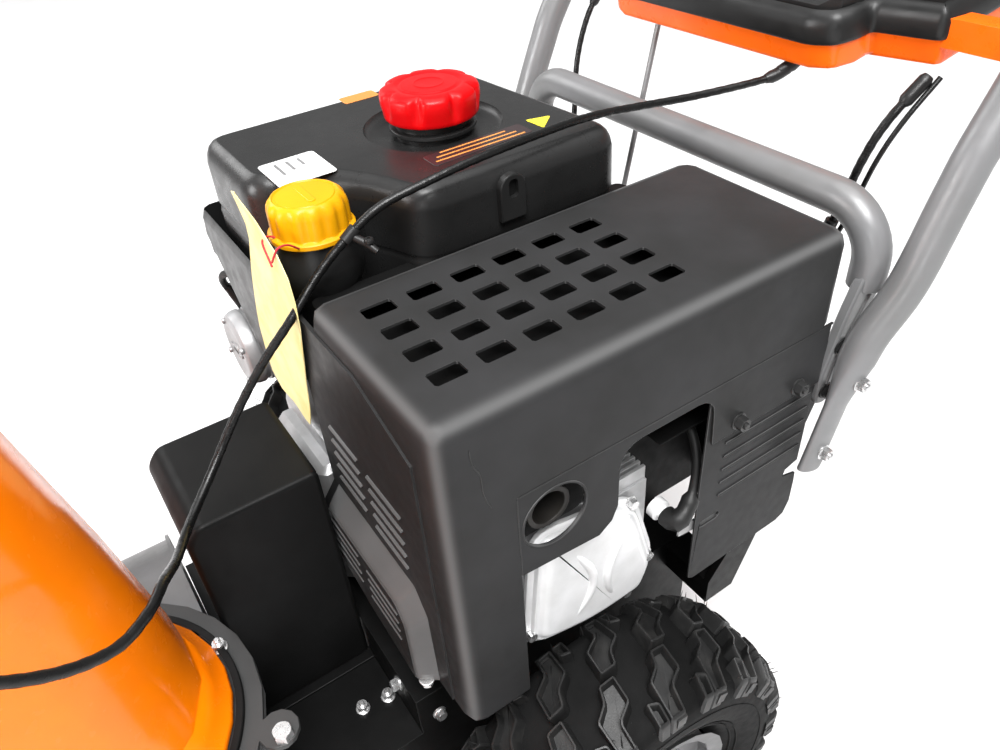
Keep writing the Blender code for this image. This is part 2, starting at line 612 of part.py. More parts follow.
# ---- engine -----------------------------------------------------------------
def make_engine():
    """Block, cylinder head, rocker cover, blower housing and starter motor."""
    block = box("crankcase", (-96, -137, DECK_Z + GAP), (90, 58, 432), "cast_aluminium", 8, 2)
    nose = box("nose", (-84, -151, DECK_Z + GAP), (14, -130, 420), bevel=6)
    barrel = box("barrel", (80, -74, 334), (152, 36, 430), bevel=5)
    join(block, nose, barrel)
    port = rod("port", (0, -106), "Z", 424, 470, 20, steps=24)
    join(block, port)
    bore = rod("bore", (0, CRANK_Z), "Y", -170, 70, 14 + GAP, steps=24)
    well = rod("well", (0, -106), "Z", 418, 480, 15, steps=20)
    tidy(cut(block, bore, well))

    comb = [(152.4, 322), (152.4, 446)]
    for k in range(6):
        x = 153.0 + 5.6 * k
        comb += [(x + 3.0, 446), (x + 3.0, 434), (x + 5.6, 434), (x + 5.6, 446)]
    comb = comb[:-2] + [(186, 434), (186, 334)]
    for k in reversed(range(6)):
        x = 153.0 + 5.6 * k
        comb += [(x + 5.6, 334), (x + 3.0, 334), (x + 3.0, 322), (x, 322)][(k == 5):]
    head = prism("cylinder_head", comb[:-1], "Y", -80, 42, "cast_aluminium")
    tidy(head)

    outline = [(-84, 346), (-70, 446), (-60, 452), (24, 430), (34, 422), (52, 350), (46, 322),
               (30, 314), (-17, 314), (-76, 334)]
    cover = prism("rocker_cover", outline, "X", 186 + GAP, 203, "cast_aluminium")
    soften(cover, 5, 2)

    shell = box("blower_housing", (-104, 58 + GAP, DECK_Z + GAP), (104, 124, 464), "black_plastic",
                12, 2)
    dome = lathe("dome", [(0, 118), (78, 118), (78, 140), (66, 152), (0, 156)],
                 (0, 0, CRANK_Z), "Y", 28)
    join(shell, dome)
    inside = [box("inside", (-101, 20, DECK_Z - 40), (101, 121, 461), bevel=9),
              rod("inside", (0, CRANK_Z), "Y", 100, 137, 72, steps=32),
              rod("rope", (0, CRANK_Z + 66), "Y", 130, 170, 5, steps=12)]
    tidy(cut(shell, *inside))

    x, z = -167, 438
    starter = lathe("electric_starter", [(0, -151), (30, -151), (35, -148), (37, -142), (37, -62),
                                         (33, -60), (33, -34), (14, -30), (14, -10), (0, -10)],
                    (x, 0, z), "Y", 24, "cast_aluminium")
    arm = box("arm", (x + 20, -88, z - 34), (-96 - GAP, -48, z - 10), bevel=3)
    tidy(join(starter, arm))


def soften(piece, width, segments, smooth=35):
    """Bevel the sharper edges of a finished solid."""
    bevel = piece.modifiers.new("bevel", "BEVEL")
    bevel.width = width * MM
    bevel.segments = segments
    bevel.limit_method = "ANGLE"
    bevel.angle_limit = math.radians(30)
    graph = bpy.context.evaluated_depsgraph_get()
    mesh = bpy.data.meshes.new_from_object(piece.evaluated_get(graph))
    piece.modifiers.clear()
    piece.data = mesh
    mesh.shade_smooth()
    mesh.set_sharp_from_angle(angle=math.radians(smooth))
    return piece


def make_muffler():
    """Muffler with its outlet behind the round hole in the side plate."""
    can = box("muffler", (78, -120, 474), (190, 128, 574), "dark_steel", 14, 1)
    outlet = rod("outlet", (-62, 489), "X", 170, 205, 17, steps=20)
    inlet = rod("inlet", (166, -20), "Z", 446 + GAP, 480, 15, steps=20)
    join(can, outlet, inlet)
    bore = rod("bore", (-62, 489), "X", 176, 220, 13, steps=20)
    tidy(cut(can, bore))


def front_bulge(grow):
    """Raised lower field of the front shroud; grow moves it inwards."""
    low, high, near = 316 + grow, 402 - grow, 157 - grow
    front = [(PANEL_X + 3 + grow, 344 + grow), (84, 328 + grow), (near, low), (near, high - 17),
             (near - 11, high), (PANEL_X + 3 + grow, high)]
    base = [(PANEL_X + 1 + grow, 344 + grow), (84, 327 + grow), (near + 10, low - 1),
            (near + 10, high - 6), (near - 3, high + 16), (PANEL_X + 1 + grow, high + 16)]
    y0 = COVER_Y0
    rows = [[(x, y0 - 15 + grow, z) for x, z in front],
            [(x, y0 + 2 * grow - 1, z) for x, z in base]]
    return loft("front_bulge", rows, "charcoal")


def make_engine_cover():
    """Hot air cover: vented top, front shroud and the return on the near side."""
    x0, x1, y0, y1, top = COVER_X0, COVER_X1, COVER_Y0, COVER_Y1, COVER_TOP
    shell = box("engine_cover", (x0, y0, 300), (x1, y1, top), "charcoal", 13, 2)
    hollow = box("hollow", (x0 + 2, y0 + 2, 302), (x1 - 2, y1 - 2, top - 2), bevel=11, segments=2)
    below_side = box("below", (x0 - 9, RETURN_Y, 200), (x1 + 9, y1 + 9, SEAM_Z))
    below_far = box("below", (x0 - 9, y0 + 2, 200), (x1 - 30, y1 + 9, 560))
    floor = box("floor", (x0 - 9, y0 - 9, 200), (x1 + 9, y1 + 9, 308))
    corner = box("corner", (x0 - 9, y0 - 9, 200), (150, y0 + 15, 402))
    cut(shell, hollow, below_side, below_far, floor, corner)
    wing = [(120, 584), (40, 584), (PANEL_X + 2, 572), (PANEL_X, 418), (PANEL_X, 344),
            (84, 326), (170, 314), (186, 314), (186, 560)]
    join(shell, prism("wing", wing, "Y", y0 - 1.6, y0 + 1.4), front_bulge(0))
    cut(shell, front_bulge(2))
    vents = []
    for row in range(4):
        for column in range(6):
            x, y = 90 + 27.5 * row, -105 + 33 * column
            vents.append(prism("vent", rounded((x - 6.8, y - 11), (x + 6.8, y + 11), 1.6, 1), "Z",
                               top - 9, top + 9))
    tidy(cut(shell, *vents))

    plate = ([(RETURN_Y + GAP, SEAM_Z - GAP), (y1 - 2, SEAM_Z - GAP), (y1 - 2, 466), (79, 466)]
             + arc((60, 497), 17, 0, 90, 4) + arc((9, 496), 18, 90, 180, 4)
             + [(-9, 462), (-14, 450), (-25, 442), (RETURN_Y + GAP, 448)])
    side = prism("side_plate", plate, "X", x1 - 2, x1, "charcoal")
    tidy(cut(side, rod("hole", (-62, 489), "X", x1 - 9, x1 + 9, 24.5, steps=32)))

    lower = [(75, 514), (y1 - 2, 514), (y1 - 2, 380), (180, 376), (178, 369), (y1 - 1, 364),
             (y1, 352), (y1, 328), (y1 - 5, 315), (y1 - 14, 311), (80, 309), (75, 313)]
    rear = prism("rear_plate", lower, "X", x1 - 4.4, x1 - 2 - GAP, "charcoal")
    slot = prism("slot", rounded((62 + 18, 372), (102, 379), 3.4, 2), "X", x1 - 9, x1)
    tidy(cut(rear, slot))


def make_tank():
    """Fuel tank, its tray, both fillers and their caps."""
    outline = [(-168, -130), (-52, -130), (-42, -84), (-4, -66), (10, -48), (42, -42), (44, 128),
               (28, 136), (-168, 118)]
    tank = prism("fuel_tank", outline, "Z", 532, TANK_TOP, "black_plastic")
    soften(tank, 14, 2)
    x, y = -60, 28
    recess = rod("recess", (x, y), "Z", TANK_TOP - 7, TANK_TOP + 9, 55, steps=32)
    cut(tank, recess)
    neck = rod("neck", (x, y), "Z", TANK_TOP - 20, TANK_TOP + 14, 30, steps=24)
    join(tank, neck)
    tidy(cut(tank, rod("mouth", (x, y), "Z", TANK_TOP - 60, TANK_TOP + 30, 24, steps=24)))

    cap = lathe("fuel_cap", [(0, 654.6), (33, 654.6), (33, 642), (39, 642), (39, 667), (34, 672),
                             (0, 672)], (x, y, 0), "Z", 28, "red_plastic")
    pivot(cap, (x, y, 642))

    tray = box("tank_tray", (-200, -138.4, 519), (49, 142, 573), "black_plastic", 10, 2)
    inside = box("inside", (-197, -135.4, 522), (46, 139, 590), bevel=8, segments=2)
    front = prism("front", [(-196, 545), (-99, 442), (-58, 442), (-58, 530), (-190, 560)], "Y",
                  -138.4, -135.4)
    neck_hole = rod("hole", (0, -106), "Z", 500, 560, 24, steps=24)
    join(tray, front)
    cut(tray, inside)
    tidy(cut(tray, neck_hole))

    filler = lathe("oil_neck", [(15, 470.4), (21, 470.4), (21, 565), (27, 578), (32, 590),
                                (32, 600), (28, 608), (26, 617.4), (15, 617.4)],
                   (0, -106, 0), "Z", 24, "black_plastic")
    tidy(filler)
    cap = lathe("oil_cap", [(0, 500), (3, 500), (3, 618), (29, 618), (30, 621), (28, 625),
                            (28, 641), (23, 646), (0, 646)], (0, -106, 0), "Z", 24,
                "yellow_plastic")
    pivot(cap, (0, -106, 618))


def make_controls():
    """Carburettor box with its choke and primer, and the pull handle."""
    case = box("carburetor_box", (-178, -2, 466.4), (-10, 152, 517), "black_plastic", 6, 2)
    tidy(cut(case, rod("hole", (-60, 492), "Y", 140, 160, 5.4, steps=16),
             rod("hole", (-140, 492), "Y", 138, 160, 13.4, steps=24)))
    knob = lathe("choke_knob", [(0, 142), (5, 142), (5, 153), (16, 153), (17, 155), (17, 163),
                                (15, 165), (0, 165)], (-60, 0, 492), "Y", 24, "black_plastic")
    pivot(knob, (-60, 142, 492))
    bulb = lathe("primer_bulb", [(0, 144), (13, 144), (13, 152), (12, 158), (8, 163), (0, 165)],
                 (-140, 0, 492), "Y", 24, "rubber")
    pivot(bulb, (-140, 144, 492))

    z = CRANK_Z + 66
    grip = box("recoil_handle", (-46, 158, z - 9), (46, 178, z + 9), "black_plastic", 7, 2)
    rope = rod("rope", (0, z), "Y", 64, 165, 3.2, steps=12)
    pivot(tidy(join(grip, rope)), (0, 150, z))


# ---- handles and console ----------------------------------------------------
def make_handles():
    """Cross tube, the two handle tubes, grips and clutch levers."""
    r = CROSS_BEND
    bend = [(LEG_X - r + x, CROSS_Y, CROSS_Z - r + z) for x, z in arc((0, 0), r, 12, 90, 5)]
    half = [(LEG_X, CROSS_Y, 536), (LEG_X, CROSS_Y, CROSS_Z - r)] + bend
    path = [Vector(p) for p in half + [(-x, y, z) for x, y, z in reversed(half)]]
    hoop = sweep("cross_tube", path, TUBE_R, 10, "grey_paint")
    flat = [(197, 440), (212, 436), (222, 490), (250, 534), (249, 552), (224, 552), (212, 520),
            (198, 470)]
    low = UPRIGHT_X + 6 + GAP
    tidy(join(hoop, *[prism("flat", flat, "X", s * low, s * (low + 9)) for s in (-1, 1)]), 50)

    for side, sign in (("left", 1), ("right", -1)):
        x = sign * HANDLE_X
        route = [(x - sign * 9, 184, 392), (x - sign * 8.6, 188, 408), (x - sign * 8, 203, 466),
                 (x - sign * 6, 215, 508), (x, 237, 550), (x, 263, 610), (x, 285, 652),
                 (x, 354, 748), (x, 452, 830), (x, 545, 894), (x, 620, 923), (x, 660, 933.3), (x, 736.5, 953)]
        path = smooth_path(route, 48)
        sweep("handle_" + side, path, TUBE_R, 10, "grey_paint")
        end, start = Vector(route[-1]), Vector((x, 646, 929.7))
        along = (end - start).normalized()
        grip = sweep("grip_" + side, [start, end + along * 4], 18, 14, "rubber")
        bore = sweep("bore", [start - along * 20, end + along * 0.4], TUBE_R + 0.9, 14)
        tidy(cut(grip, bore))

        hinge = Vector((x, 560, 900 + TUBE_R + 14))
        tip = Vector((x, 706, 994))
        y, z = hinge.y, hinge.z
        lever = sweep(("auger_lever", "traction_lever")[sign > 0],
                      smooth_path([hinge, (x, 610, 950), (x, 660, 974), tip], 24), 6, 10,
                      "black_plastic")
        boss = rod("boss", (y, z), "X", x - 9, x + 9, 10, steps=20)
        join(lever, boss)
        pivot(tidy(lever), hinge)
        bracket = [box("bracket", (x + s * 11 - 1.5, y - 9, z - 26), (x + s * 11 + 1.5, y + 9, z + 9))
                   for s in (-1, 1)]
        tube = bpy.data.objects["handle_" + side]
        tidy(join(tube, *bracket), 50)


def console_plan(front_half, rear_half, front_y, rear_y, radius):
    """Console outline from above: narrow in front, wide behind."""
    f, r, x = front_half, rear_half, CONSOLE_X
    near = front_y + 38
    plan = [(-f + radius, front_y), (f - radius, front_y), (f - 0.3 * radius, front_y + 0.3 * radius),
            (f, front_y + radius), (f, near), (r, near + 9), (r, rear_y), (-r, rear_y),
            (-r, near + 9), (-f, near), (-f, front_y + radius),
            (-f + 0.3 * radius, front_y + 0.3 * radius)]
    return [(x + u, v) for u, v in plan]


def make_console():
    """Orange tray, black hood with lever slots, and the two hand levers."""
    y0, z0, rise, reach = CONSOLE_Y, CONSOLE_Z, 10, HANDLE_X - TUBE_R - GAP
    tray = prism("console_tray", console_plan(130, 182, y0, y0 + 205, 24), "Z", z0, z0 + 36,
                 "orange")
    soften(tray, 5, 2)
    tilt(tray, (0, y0, z0), "X", rise)
    ears = []
    for s in (-1, 1):
        x0, x1 = sorted((s * 150, s * reach))
        ears.append(box("ear", (x0, 318, 682), (x1, 340, 702)))
    tidy(join(tray, *ears))

    side = [(6, 37), (30, 62), (62, 90), (100, 110), (140, 116), (172, 106), (192, 80), (196, 37)]
    hood = prism("console_cover", [(y0 + y, z0 + z - 0.6) for y, z in side], "X",
                 CONSOLE_X - 176, CONSOLE_X + 176, "black_plastic")
    tilt(hood, (0, y0, z0), "X", rise)
    shape = prism("shape", console_plan(124, 176, y0 + 5, y0 + 260, 22), "Z", z0 - 50, z0 + 300)
    combine(hood, [shape], "INTERSECT")
    soften(hood, 7, 2)
    slots = [box("slot", (x - 5, y0 + 50, z0 + 84), (x + 5, y0 + 160, z0 + 260))
             for x in (-48, 60)]
    tidy(cut(hood, *slots))
    for name, x, height in (("shift_lever", -48, 62), ("deflector_lever", 60, 44)):
        y, z = y0 + 98, z0 + 88
        stick = sweep(name, [Vector((x, y, z)), Vector((x, y - 8, z + 60)),
                             Vector((x, y - 4, z + 60 + height))], 3.4, 10, "dark_steel")
        ball = lathe("knob", [(0, 0), (8, 2), (13, 12), (14, 22), (9, 33), (0, 36)],
                     (x, y - 4, z + 58 + height), "Z", 20)
        pivot(tidy(join(stick, ball)), (x, y, z))


def make_linkage():
    """Shift rod and the three control cables along their real routes."""
    rod_line = [Vector((-90, 292, 654)), Vector((-64, 182, 300)), Vector((-62, 172, 246))]
    sweep("shift_rod", rod_line, 2.6, 8, "steel")
    cord("traction_cable", [(176, 300, 668), (168, 276, 640), (160, 268, 609), (149, 262, 553),
                            (132, 240, 480), (104, 214, 400), (80, 190, 330), (70, 172, 290),
                            (66, 164, 262)], 3.5, step=26)
    cord("auger_cable", [(-200, 318, 668), (-200, 297, 640), (-196, 280, 600), (-184, 266, 546),
                         (-160, 240, 470), (-124, 206, 380), (-98, 186, 310), (-92, 176, 262)],
         3.0, step=26)
    cord("chute_cable", CHUTE_CABLE, 3.2, step=20)


CHUTE_CABLE = [(71, 284, 655), (63, 265, 647), (45, 211, 643), (33, 161, 644), (32, 121, 648),
               (38, 80, 652), (48, 3, 654), (46, -43, 648), (41, -72, 640), (39, -95, 627),
               (40, -121, 609), (46, -149, 587), (47, -175, 564), (52, -202, 538),
               (64, -229, 513), (90, -256, 502), (124, -270, 514), (161, -279, 541),
               (183, -292, 547), (199, -312, 553), (209, -342, 574), (215, -384, 620),
               (214, -420, 668), (204, -442, 706), (200, -448, 728)]


def build():
    for piece in list(bpy.data.objects):
        bpy.data.objects.remove(piece)
    for make in (make_chassis, make_axle, make_wheels, make_friction_drive, make_belts,
                 make_belt_cover, make_auger_housing, make_impeller_housing, make_augers,
                 make_impeller, make_ground_parts, make_chute, make_engine, make_muffler,
                 make_engine_cover, make_tank, make_controls, make_handles, make_console,
                 make_linkage):
        make()


build()
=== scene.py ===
"""Two stage snowblower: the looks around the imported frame.

Lengths are in millimetres unless said. +X is the machine's left, -Y its front and +Z up.
"""

import json
import random
from math import copysign, cos, pi, radians, sin, sqrt

import bmesh
import bpy
from mathutils import Matrix, Vector

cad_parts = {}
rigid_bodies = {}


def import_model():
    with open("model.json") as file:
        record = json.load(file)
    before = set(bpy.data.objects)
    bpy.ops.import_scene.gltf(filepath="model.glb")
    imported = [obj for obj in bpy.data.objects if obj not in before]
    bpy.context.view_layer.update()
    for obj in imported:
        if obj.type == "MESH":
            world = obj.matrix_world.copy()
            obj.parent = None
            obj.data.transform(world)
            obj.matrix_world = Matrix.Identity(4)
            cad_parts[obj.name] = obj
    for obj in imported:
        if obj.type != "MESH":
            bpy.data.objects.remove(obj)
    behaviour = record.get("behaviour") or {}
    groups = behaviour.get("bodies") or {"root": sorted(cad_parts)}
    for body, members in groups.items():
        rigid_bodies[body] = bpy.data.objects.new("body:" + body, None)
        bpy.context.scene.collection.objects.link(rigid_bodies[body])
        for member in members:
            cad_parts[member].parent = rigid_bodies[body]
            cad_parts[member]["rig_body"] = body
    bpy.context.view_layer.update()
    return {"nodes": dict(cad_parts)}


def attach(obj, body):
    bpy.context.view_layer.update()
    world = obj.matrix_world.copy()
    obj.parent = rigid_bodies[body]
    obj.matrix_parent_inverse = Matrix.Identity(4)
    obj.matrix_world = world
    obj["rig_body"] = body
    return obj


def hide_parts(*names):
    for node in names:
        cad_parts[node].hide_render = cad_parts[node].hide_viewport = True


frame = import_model()
NODES = frame["nodes"]
MM = 0.001
TAU = 2 * pi
random.seed(11)

# Places that several pieces share
FUEL_X, FUEL_Y = -60.0, 28.0
OIL_Y = -106.0
TANK_TOP = 640.0
SIDE_X = 212.0  # outer face of the engine cover and its plates
OUTLET_Y, OUTLET_Z = -62.0, 489.0
PLUG_Y, PLUG_Z = 56.0, 392.0
HANDLE_X = 236.0


def add_object(name, data):
    """A new object in the scene."""
    thing = bpy.data.objects.new(name, data)
    bpy.context.scene.collection.objects.link(thing)
    return thing


# ---- camera ----
def make_camera():
    data = bpy.data.cameras.new("camera")
    data.sensor_width = 36
    data.lens = 28.97
    data.clip_start = 0.02
    camera = add_object("camera", data)
    turn = Matrix(((0.56099, -0.49013, 0.66713), (0.82547, 0.39187, -0.40625),
                   (-0.06231, 0.77860, 0.62442)))
    camera.matrix_world = Matrix.Translation((0.4882, -0.2629, 0.8771)) @ turn.to_4x4()
    bpy.context.scene.camera = camera


# ---- shapes ----
class Shape:
    """Points and faces gathered before they become one object."""

    def __init__(self):
        self.points = []
        self.faces = []

    def add(self, points, faces):
        first = len(self.points)
        self.points += [tuple(p) for p in points]
        self.faces += [tuple(first + i for i in face) for face in faces]
        return self

    def merge(self, *others):
        for other in others:
            self.add(other.points, other.faces)
        return self

    def moved(self, matrix):
        return Shape().add([matrix @ Vector(p) for p in self.points], self.faces)


def place(axis, along, u, v):
    """A point from its place along an axis and its two other coordinates."""
    return {"X": (along, u, v), "Y": (u, along, v), "Z": (u, v, along)}[axis]


def skin(rings, looped=False):
    """A surface through rings of equal length, closed by caps or looped on itself."""
    shape = Shape()
    count = len(rings[0])
    points = [p for ring in rings for p in ring]
    faces = []
    spans = len(rings) if looped else len(rings) - 1
    for i in range(spans):
        a, b = i * count, (i + 1) % len(rings) * count
        for k in range(count):
            m = (k + 1) % count
            faces.append((a + k, a + m, b + m, b + k))
    if not looped:
        faces.append(tuple(reversed(range(count))))
        faces.append(tuple((len(rings) - 1) * count + k for k in range(count)))
    return shape.add(points, faces)


def turned(profile, centre, axis, steps=48, lobes=0, sharp=1.0, looped=False):
    """Turned solid from (radius, along[, cut depth]) rows, its rim cut by sharp lobes."""
    rings = []
    cx, cy, cz = centre
    for row in profile:
        radius, along, depth = (*row, 0)[:3]
        ring = []
        for k in range(steps):
            a = TAU * k / steps
            r = max(radius - depth * (0.5 + 0.5 * cos(lobes * a)) ** sharp, 0.01)
            x, y, z = place(axis, along, r * cos(a), r * sin(a))
            ring.append((cx + x, cy + y, cz + z))
        rings.append(ring)
    return skin(rings, looped=looped)


def curve_through(points, step):
    """Catmull-Rom points about a step apart."""
    pts = [Vector(p) for p in points]
    pts = [2 * pts[0] - pts[1]] + pts + [2 * pts[-1] - pts[-2]]
    path = []
    for i in range(1, len(pts) - 2):
        a, b, c, d = pts[i - 1:i + 3]
        count = max(1, round((c - b).length / step))
        for k in range(count):
            t = k / count
            path.append(0.5 * (2 * b + (c - a) * t + (2 * a - 5 * b + 4 * c - d) * t * t
                               + (3 * b - a - 3 * c + d) * t ** 3))
    return path + [pts[-2]]


def tube(path, radius, sides=24, flat=None, squeeze=None):
    """Tube along points; radius is a number or one per point, squeeze flattens it sideways."""
    pts = [Vector(p) for p in path]
    radii = radius if isinstance(radius, (list, tuple)) else [radius] * len(pts)
    tangents = []
    for i in range(len(pts)):
        tangents.append((pts[min(i + 1, len(pts) - 1)] - pts[max(i - 1, 0)]).normalized())
    side = tangents[0].orthogonal().normalized()
    if flat:
        side = (Vector(flat) - tangents[0] * tangents[0].dot(Vector(flat))).normalized()
    rings = []
    thin = squeeze or [1.0] * len(pts)
    for point, tangent, r, q in zip(pts, tangents, radii, thin):
        side = (side - tangent * tangent.dot(side)).normalized()
        up = tangent.cross(side)
        rings.append([point + r * (q * cos(TAU * k / sides) * side
                                   + sin(TAU * k / sides) * up) for k in range(sides)])
    return skin(rings)


def corners(outline):
    """Each point of an outline between the one before and the one after."""
    pts = [Vector(p) for p in outline]
    return zip(pts[-1:] + pts[:-1], pts, pts[1:] + pts[:1])


def inset(outline, amount):
    """Outline moved inwards by an amount."""
    area = sum(p[0] * q[1] - q[0] * p[1] for p, q in zip(outline, outline[1:] + outline[:1]))
    sign = 1 if area > 0 else -1
    result = []
    for p, q, r in corners(outline):
        a, b = (q - p).normalized(), (r - q).normalized()
        na, nb = Vector((-a.y, a.x)), Vector((-b.y, b.x))
        n = na + nb
        n = n / max(n.dot(na), 0.3) if n.length > 1e-6 else na
        result.append(tuple(q + sign * amount * n))
    return result


def rounded(outline, radius, steps=4):
    """Outline with its corners turned into arcs."""
    result = []
    for p, q, r in corners(outline):
        back, on = p - q, r - q
        reach = min(radius, back.length * 0.45, on.length * 0.45)
        a, b = q + back.normalized() * reach, q + on.normalized() * reach
        for k in range(steps + 1):
            t = k / steps
            result.append(tuple((1 - t) ** 2 * a + 2 * t * (1 - t) * q + t * t * b))
    return result


def pane(u0, v0, u1, v1, radius=0.0, steps=2):
    """Rectangular outline, with round corners where a radius is given."""
    outline = [(u0, v0), (u1, v0), (u1, v1), (u0, v1)]
    return rounded(outline, radius, steps) if radius else outline


def circle(centre, radius, count, start=0.0):
    """Points evenly round a centre."""
    return [(centre[0] + radius * cos(start + TAU * k / count),
             centre[1] + radius * sin(start + TAU * k / count)) for k in range(count)]


def slab(outline, axis, start, end, edge=0.6):
    """Extruded outline with chamfered edges at its far end and its near end."""
    sign = 1 if end > start else -1
    rows = [(start, edge), (start + sign * edge, 0), (end - sign * edge, 0),
            (end - sign * edge * 0.3, edge * 0.7), (end, edge * 1.6)]
    rings = []
    for along, amount in rows:
        rings.append([place(axis, along, u, v) for u, v in inset(outline, amount)])
    return skin(rings)


def block(low, high, edge=0.8):
    """Upright box with softened edges."""
    x0, y0, z0 = low
    x1, y1, z1 = high
    radius = min(2.5 * edge, 0.4 * min(x1 - x0, y1 - y0))
    return slab(pane(x0, y0, x1, y1, radius), "Z", z0, z1, min(edge, 0.3 * (z1 - z0)))


def hex_bolt(centre, axis, sign=1, size=5.0, washer=True, stud=0.0):
    """Hexagon head or nut standing on centre, with its washer and stud."""
    shape = Shape()
    lift = 0.0
    if washer:
        rows = [(size * 1.15, -0.6), (size * 1.35, -0.2), (size * 1.35, 1.0), (size * 1.2, 1.3),
                (0.1, 1.3)]
        shape.merge(turned([(r, sign * a) for r, a in rows], (0, 0, 0), axis, 24))
        lift = 1.2
    height = size * 1.15
    rings = []
    for along, most in ((-0.3, 1.0), (height * 0.8, 1.0), (height, 0.9)):
        ring = []
        for k in range(24):
            a = TAU * k / 24
            hexagon = cos(pi / 6) / cos((a % (pi / 3)) - pi / 6)
            r = size * 1.12 * min(hexagon, most)
            ring.append(place(axis, sign * (lift + along), r * cos(a), r * sin(a)))
        rings.append(ring)
    shape.merge(skin(rings))
    if stud:
        r = size * 0.55
        rows = [(r, 0), (r, lift + height + stud - 0.6), (r - 0.7, lift + height + stud)]
        shape.merge(turned([(q, sign * a) for q, a in rows], (0, 0, 0), axis, 16))
    return shape.moved(Matrix.Translation(Vector(centre)))


def hex_bolts(spots, axis, sign, size, **more):
    """Bolts of one kind at several spots."""
    return Shape().merge(*(hex_bolt(spot, axis, sign, size, **more) for spot in spots))


def cap_screw(centre, axis, sign=1, size=4.0):
    """Round headed screw with a small hollow in its head."""
    rows = [(size, -0.5), (size, size * 0.35), (size * 0.8, size * 0.65),
            (size * 0.35, size * 0.75), (size * 0.3, size * 0.45), (0.1, size * 0.45)]
    shape = turned([(r, sign * a) for r, a in rows], (0, 0, 0), axis, 20)
    return shape.moved(Matrix.Translation(Vector(centre)))


def weld(mesh, gap):
    """Join the points that meet and turn every face outwards."""
    bm = bmesh.new()
    bm.from_mesh(mesh)
    bmesh.ops.remove_doubles(bm, verts=bm.verts, dist=gap)
    bmesh.ops.recalc_face_normals(bm, faces=bm.faces)
    bm.to_mesh(mesh)
    bm.free()


def make(name, shape, paint, stands_for=None, smooth=38, body="root"):
    """Turn a shape into an object that rides on a body."""
    mesh = bpy.data.meshes.new(name)
    mesh.from_pydata([tuple(c * MM for c in p) for p in shape.points], [], shape.faces)
    weld(mesh, 1e-6)
    show(name, mesh, paint, body, stands_for, smooth)


def show(name, mesh, paint, body, stands_for=None, smooth=38, bevel=0.0, limit=38):
    """Finish a mesh: paint, smooth shading, bevelled edges, its body and the node it replaces."""
    mesh.shade_smooth()
    mesh.set_sharp_from_angle(angle=radians(smooth))
    mesh.materials.clear()
    mesh.materials.append(PAINT[paint])
    piece = add_object(name, mesh)
    if bevel:
        soft = piece.modifiers.new("bevel", "BEVEL")
        soft.width = bevel * MM
        soft.segments = 2
        soft.limit_method = "ANGLE"
        soft.angle_limit = radians(limit)
    even = piece.modifiers.new("normals", "WEIGHTED_NORMAL")
    even.keep_sharp = True
    graph = bpy.context.evaluated_depsgraph_get()
    finished = bpy.data.meshes.new_from_object(piece.evaluated_get(graph))
    piece.modifiers.clear()
    piece.data = finished
    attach(piece, body)
    if stands_for:
        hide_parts(stands_for)


